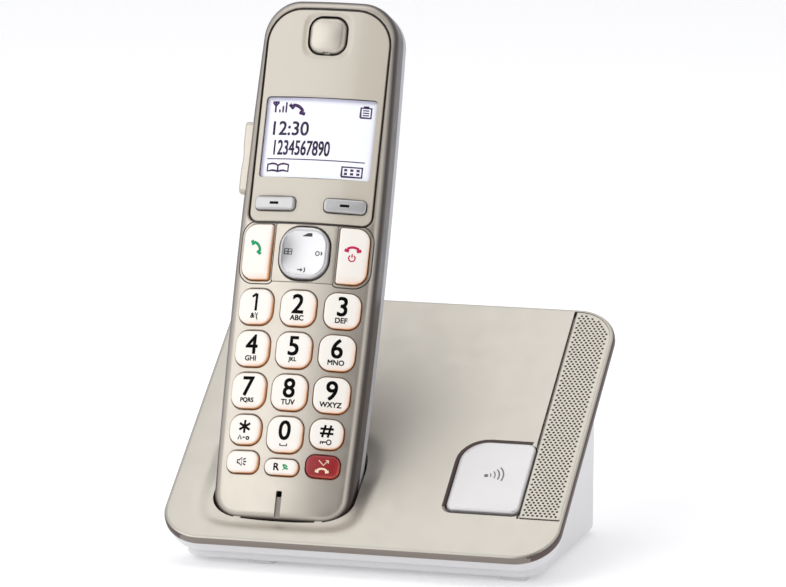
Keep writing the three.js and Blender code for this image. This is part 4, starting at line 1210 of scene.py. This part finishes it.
# ---- base top cover ----
# A satin champagne panel. Its edge and the walls of its recesses are painted dark umber as shade,
# and its front band a lighter bronze as shade. A shallow dish leads into the cradle, whose pocket
# holds the handset's foot. The page key and the grille sit in recesses on its right.
PANEL_CORNER = 14.0
COVER_THICK = 3.2
COVER_EDGE = 1.35
DOCK_GAP = 0.8
POCKET_WALL = 1.4
PANEL_PAINT = surface(
    "satin_champagne_paint", 0xB8B3A9, 0.36, grain=0.5, mottle=0.02, depth=0.003,
    Metallic=0.75, Coat_Weight=0.1, Coat_Roughness=0.3,
)
cover = plate(
    "base_cover_panel", PANEL_WIDTH, PANEL_LENGTH, (PANEL_CORNER,) * 4, -COVER_THICK, 0, steps=20,
    middle=(0, PANEL_LENGTH / 2, 0),
)
round_edges(cover, COVER_EDGE, 6, level_at(0))
round_edges(cover, 0.75, 4, level_at(-COVER_THICK))

to_panel = PANEL.inverted() @ HANDSET
foot_front = to_panel @ Vector((0, 0, FACE_HEIGHT))
foot_x = foot_front.x
CRADLE_MARGIN = 5.0
CRADLE_DEPTH = 1.1
cradle_middle = Vector((foot_x, foot_front.y + 18, 0))
CRADLE_HALF = Vector((CASE_WIDTH / 2 + CRADLE_MARGIN, 18 + CRADLE_MARGIN, 0))
slices(cover, 0, foot_x - CRADLE_HALF.x - 1, foot_x + CRADLE_HALF.x + 1, 1.5)
slices(cover, 1, cradle_middle.y - CRADLE_HALF.y - 1, cradle_middle.y + CRADLE_HALF.y + 1, 1.5)


def cradled(place):
    """Sinks the panel's surface smoothly towards the handset's foot."""
    x = abs(place.x - cradle_middle.x) / CRADLE_HALF.x
    y = abs(place.y - cradle_middle.y) / CRADLE_HALF.y
    far = (x**5 + y**5) ** 0.2
    depth = CRADLE_DEPTH * smooth_step((1 - far) / 0.18)
    return place - Vector((0, 0, depth if place.z > -0.5 else 0))


reshape(cover, cradled)


def foot_form(grow):
    """The handset grown all round, in the panel's axes."""
    form = barrel(
        "foot_form", -grow, -REAR_DEPTH - grow, FACE_HEIGHT + grow,
        edge=FACE_EDGE + grow, under=BACK_EDGE + grow,
    )
    crowned(form)
    form.data.transform(to_panel)
    return form


pocket = foot_form(DOCK_GAP + POCKET_WALL)
lid = plate("lid", HUGE, HUGE, (1,) * 4, -2.0, HUGE, steps=1)
cut(pocket, lid)
cut(cover, pocket, operation="UNION")
cut(cover, foot_form(DOCK_GAP))
GUIDE_X = 13.5
GUIDE_WIDTH = 2.4
for way in (-1, 1):
    guide = plate("guide", GUIDE_WIDTH, 30, (0.3,) * 4, FACE_HEIGHT - 1.6, FACE_HEIGHT + 0.6)
    guide.data.transform(
        to_panel @ Matrix.Translation((way * GUIDE_X, 6.5 - crown_drop(GUIDE_X), 0.15))
    )
    above = plate("above", HUGE, HUGE, (1,) * 4, -0.02 - CRADLE_DEPTH, HUGE, steps=1)
    cut(guide, above, foot_form(0.1))
    cut(cover, guide, operation="UNION")

page_low, page_high = in_panel("page_key")
PAGE_FLANGE = 0.9
PAGE_KEY = (page_high.x - page_low.x - 2 * PAGE_FLANGE,
            page_high.y - page_low.y - 2 * PAGE_FLANGE)
PAGE_CORNERS = (2.6, 2.6, 2.6, 9.0)
page_middle = Vector(((page_low.x + page_high.x) / 2, (page_low.y + page_high.y) / 2, 0))
PAGE_GAP = 0.6
page_hole = opening(*grown(PAGE_KEY, PAGE_CORNERS, PAGE_GAP), depth=8, flare=0.8)
shift(page_hole, page_middle)

grille_low, grille_high = in_panel("speaker_grille")
GRILLE_GAP = 0.8
GRILLE_WIDTH = grille_high.x - grille_low.x
GRILLE_LENGTH = grille_high.y - grille_low.y
GRILLE_CORNERS = (0.4, 0.4, PANEL_CORNER - 1.5, 0.4)
grille_middle = Matrix.Translation(
    ((grille_low.x + grille_high.x) / 2, (grille_low.y + grille_high.y) / 2, 0)
)
grille_hole = plate(
    "grille_hole", GRILLE_WIDTH + GRILLE_GAP, GRILLE_LENGTH + GRILLE_GAP, GRILLE_CORNERS,
    grille_low.z - GAP, 3, steps=12,
)
grille_hole.data.transform(
    grille_middle @ Matrix.Translation((-GRILLE_GAP / 2, -GRILLE_GAP / 2, 0))
)
contact_slots = []
for contact in ("charge_contact_left", "charge_contact_right"):
    low, high = in_handset(contact)
    tool = plate("contact_slot", high.x - low.x + 0.6, 12, (0.2,) * 4, low.z - 0.3, high.z + 0.3,
                 middle=((low.x + high.x) / 2, 0, 0))
    tool.data.transform(to_panel)
    contact_slots.append(tool)
cut(cover, page_hole, grille_hole, *contact_slots)


def edge_in_painted_shade(place, facing):
    """True on the panel's own edge and in its recesses, which take the painted umber shade, and
    false inside the cradle.
    """
    from_cradle = place - cradle_middle
    inside = abs(from_cradle.x) < CRADLE_HALF.x + 2 and abs(from_cradle.y) < CRADLE_HALF.y + 2
    return facing.z < 0.75 and place.z > -COVER_THICK - 0.1 and not inside


# Painted shade: dark umber on the edge and recess walls, a lighter bronze on the front band.
paint(cover, 1, edge_in_painted_shade)
paint(cover, 2, lambda place, facing: facing.z < 0.75 and facing.y < -0.5 and place.y < COVER_EDGE)
UMBER_SHADE = surface(
    "umber_painted_shade", 0x5C504D, 0.45, grain=0.5, mottle=0.04, depth=0.004,
    Specular_IOR_Level=0.2,
)
BRONZE_SHADE = surface(
    "bronze_painted_shade", 0x857C75, 0.36, grain=0.5, mottle=0.03, depth=0.004, Metallic=0.5
)
fit(cover, PANEL, "base", "champagne_panel", PANEL_PAINT, UMBER_SHADE, BRONZE_SHADE,
    replaced=["base_top_cover"])

# ---- speaker grille ----
# A champagne painted strip with staggered rows of small round holes. A black sheet lies behind
# it as painted shade, so the holes look dark.
HOLE_PITCH = 1.5
HOLE_ROW = 1.12
HOLE_RADIUS = 0.45
HOLE_SIDES = 8
HOLE_MARGIN = 1.2
grille_top = grille_high.z
strip = plate(
    "grille_strip", GRILLE_WIDTH, GRILLE_LENGTH, GRILLE_CORNERS, grille_low.z, grille_top, steps=12
)
round_edges(strip, 0.2, 3, level_at(grille_top))
bpy.ops.mesh.primitive_cylinder_add(vertices=HOLE_SIDES, radius=HOLE_RADIUS, depth=6)
punch = named("punch")
punches = []
rows = int((GRILLE_LENGTH - 2 * HOLE_MARGIN) / HOLE_ROW)
corner = PANEL_CORNER - 1.5
for row in range(rows + 1):
    y = -GRILLE_LENGTH / 2 + HOLE_MARGIN + row * HOLE_ROW
    start = -GRILLE_WIDTH / 2 + HOLE_MARGIN + (row % 2) * HOLE_PITCH / 2
    for column in range(int(GRILLE_WIDTH / HOLE_PITCH) + 1):
        x = start + column * HOLE_PITCH
        past = Vector((x - GRILLE_WIDTH / 2 + corner, y - GRILLE_LENGTH / 2 + corner))
        rounded = min(past) > 0 and past.length > corner - HOLE_MARGIN
        if x > GRILLE_WIDTH / 2 - HOLE_MARGIN or rounded:
            continue
        copy = punch.copy()
        copy.data = punch.data.copy()
        shift(copy, (x, y, 0))
        bpy.context.collection.objects.link(copy)
        punches.append(copy)
bpy.data.objects.remove(punch)
cut(strip, joined("punches", punches))
strip.data.transform(grille_middle)
GRILLE_PAINT = surface(
    "grille_champagne_paint", 0xBDB8AD, 0.38, grain=0.5, mottle=0.02, depth=0.003, Metallic=0.7
)
fit(strip, PANEL, "base", "grille", GRILLE_PAINT, replaced=["speaker_grille"])
# Painted shade: a dark sheet just under the strip makes the holes look dark.
shade_sheet = plate(
    "grille_shade_sheet", GRILLE_WIDTH, GRILLE_LENGTH, GRILLE_CORNERS, grille_low.z - 0.22,
    grille_low.z - 0.04, steps=12,
)
shade_sheet.data.transform(grille_middle)
DARK_SHEET_SHADE = surface("black_shade_sheet", 0x2B2422, 0.95, grain=0.25, mottle=0.3, depth=0.05)
fit(shade_sheet, PANEL, "base", "black_plastic", DARK_SHEET_SHADE)

# ---- page key ----
# A large silver key with one big corner. Pressing it makes the handset ring, and its printed
# sign is a dot with four waves.
SILVER = surface(
    "silver_metallic_paint", 0xD0CECE, 0.36, grain=0.5, mottle=0.03, depth=0.004, Metallic=0.45
)
PAGE_EDGE = 0.8
page = plate(
    "page_key_cap", *PAGE_KEY, PAGE_CORNERS, page_low.z + 1, page_high.z - 0.2, steps=12
)
round_edges(page, PAGE_EDGE, 5, level_at(page_high.z - 0.2))
grid(page, *PAGE_KEY, 1.5)
reshape(page, domed(*PAGE_KEY, 0.2, page_high.z - 0.22))
flange = plate(
    "page_flange", *grown(PAGE_KEY, PAGE_CORNERS, PAGE_FLANGE), page_low.z, page_low.z + 1.1,
    steps=12,
)
cut(page, flange, operation="UNION")
shift(page, page_middle)
fit(page, PANEL, "page_key", "page_key_silver", SILVER, replaced=["page_key"])
WAVES = strokes(0.5, *(arc(1.5 + 1.35 * i, -32, 32, -2.2, 0, 8) for i in range(4)))
WAVES += strokes(0.9, arc(0.35, 0, 360, -2.2, 0, 8))
waves = line_work(WAVES, 0.6, 0.4, math.radians(12))
shift(waves, page_middle + Vector((0, 0, page_high.z - 0.01)))
named("page_key_print")
fit(waves, PANEL, "page_key", "black_plastic",
    pad_print("page_grey_print", 0x636167, 0.06, 0.4))

# ---- lower case ----
# One white ABS moulding: a shallow rim under the panel and an upright stand with a closed
# floor. It is drawn level, in millimetres from the panel's front edge.
LEVEL = Matrix.Translation(panel_axes @ panel_origin * MM) @ Matrix.Scale(MM, 4)
to_level = LEVEL.inverted() @ PANEL
RIM_INSET = 1.2
RIM_LOW = -8.4
RIM_TOP = -COVER_THICK - GAP
STAND_INSET = 6.8
STAND_FRONT = 7.5
STAND_CORNER = 8.0
SHELL = 2.2
FLOOR = 1.8


def levelled(node):
    """The corners of a CAD node from the panel's front edge, in millimetres."""
    return [(corner - LEVEL.translation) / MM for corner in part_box(node)]


STAND_BOTTOM = levelled("base_lower_case")[0].z
STAND_BACK = levelled("line_jack")[1].y
WHITE_ABS = surface(
    "moulded_white_abs", 0xDEDDDE, 0.42, grain=0.7, mottle=0.012, depth=0.006, IOR=1.53
)


def rim_form(inset, low, high, edge=0.0):
    form = plate(
        "rim_form", PANEL_WIDTH - 2 * inset, PANEL_LENGTH - 2 * inset, (PANEL_CORNER - inset,) * 4,
        low, high, steps=16,
    )
    if edge:
        round_edges(form, edge, 6, level_at(low))
    form.data.transform(to_level @ Matrix.Translation((0, PANEL_LENGTH / 2, 0)))
    return form


def stand_form(inset, low, edge=0.0):
    depth = STAND_BACK - STAND_FRONT
    form = plate(
        "stand_form", PANEL_WIDTH - 2 * (STAND_INSET + inset), depth - 2 * inset,
        (STAND_CORNER - inset,) * 4, low, 120, steps=16,
    )
    if edge:
        round_edges(form, edge, 5, level_at(low))
    shift(form, (0, (STAND_BACK + STAND_FRONT) / 2, 0))
    return form


lower = rim_form(RIM_INSET, RIM_LOW, RIM_TOP + 4, edge=2.2)
lower.name = "base_lower_shell"
cut(lower, stand_form(0, STAND_BOTTOM, edge=1.2), operation="UNION")
inside = rim_form(RIM_INSET + SHELL, RIM_LOW + SHELL, 20)
cut(inside, stand_form(SHELL, STAND_BOTTOM + FLOOR), operation="UNION")
above = plate("above", HUGE, HUGE, (1,) * 4, RIM_TOP, HUGE / 2, steps=1)
above.data.transform(to_level)
cut(lower, inside, above)
for jack in ("line_jack", "power_jack"):
    low, high = levelled(jack)
    hole = plate(
        "jack_hole", high.x - low.x + 2 * GAP, high.z - low.z + 2 * GAP, (0.4,) * 4, -8, 8
    )
    hole.data.transform(
        Matrix.Translation(((low.x + high.x) / 2, high.y, (low.z + high.z) / 2))
        @ Matrix.Rotation(math.radians(90), 4, "X")
    )
    cut(lower, hole)
for screw in ("base_screw_left", "base_screw_right"):
    sink_screw(lower, *levelled(screw), STAND_BOTTOM, 3.4, 36)
fit(lower, LEVEL, "base", "white_case", WHITE_ABS, replaced=["base_lower_case"])


# ---- inner pieces and fixings ----
# What lies inside, the jacks, the screws and the feet keep their engineering shape. They only
# take the finish of the real thing.


def carried(finish, *nodes):
    for name in nodes:
        mesh = frame["nodes"][name].data
        mesh.materials.clear()
        mesh.materials.append(finish)


carried(surface("pale_rubber", 0xD9D9DB, 0.8, grain=0.6, mottle=0.03, depth=0.03),
        "foot_front_left", "foot_front_right", "foot_back_left", "foot_back_right")
carried(surface("natural_nylon", 0xDEDAD2, 0.5, mottle=0.02), "navigator_pivot")
carried(surface("translucent_silicone", 0xE6E3DC, 0.7, grain=1.2, depth=0.02), "keypad_mat")
carried(surface("green_solder_mask", 0x1F5F3C, 0.35, grain=1.5, mottle=0.15, depth=0.02),
        "handset_board", "base_board")
carried(surface("speaker_steel_and_paper", 0x5B5C60, 0.5, mottle=0.08, depth=0.02, Metallic=0.4),
        "earpiece_speaker", "ringer_speaker", "base_speaker", "microphone")
carried(surface("cell_sleeve", 0x3F7F5A, 0.32, grain=2.0, mottle=0.06),
        "battery_cell_1", "battery_cell_2")
carried(surface("gold_flashed_contact", 0xE2C88A, 0.22, grain=0.5, mottle=0.05, Metallic=1.0),
        "battery_strip_lower", "battery_strip_upper", "charge_terminal_left",
        "charge_terminal_right", "charge_contact_left", "charge_contact_right")
carried(surface("zinc_plated_steel", 0x9B9DA1, 0.3, grain=0.5, mottle=0.08, depth=0.02,
                Metallic=1.0),
        "handset_screw_left", "handset_screw_right", "base_screw_left", "base_screw_right")
carried(surface("black_moulded_pbt", 0x1D1D20, 0.45, grain=0.6, mottle=0.1, depth=0.02),
        "line_jack", "power_jack", "page_switch")
carried(surface("lcd_module_frame", 0xD9DCE4, 0.4, mottle=0.02, depth=0.0), "lcd_module")
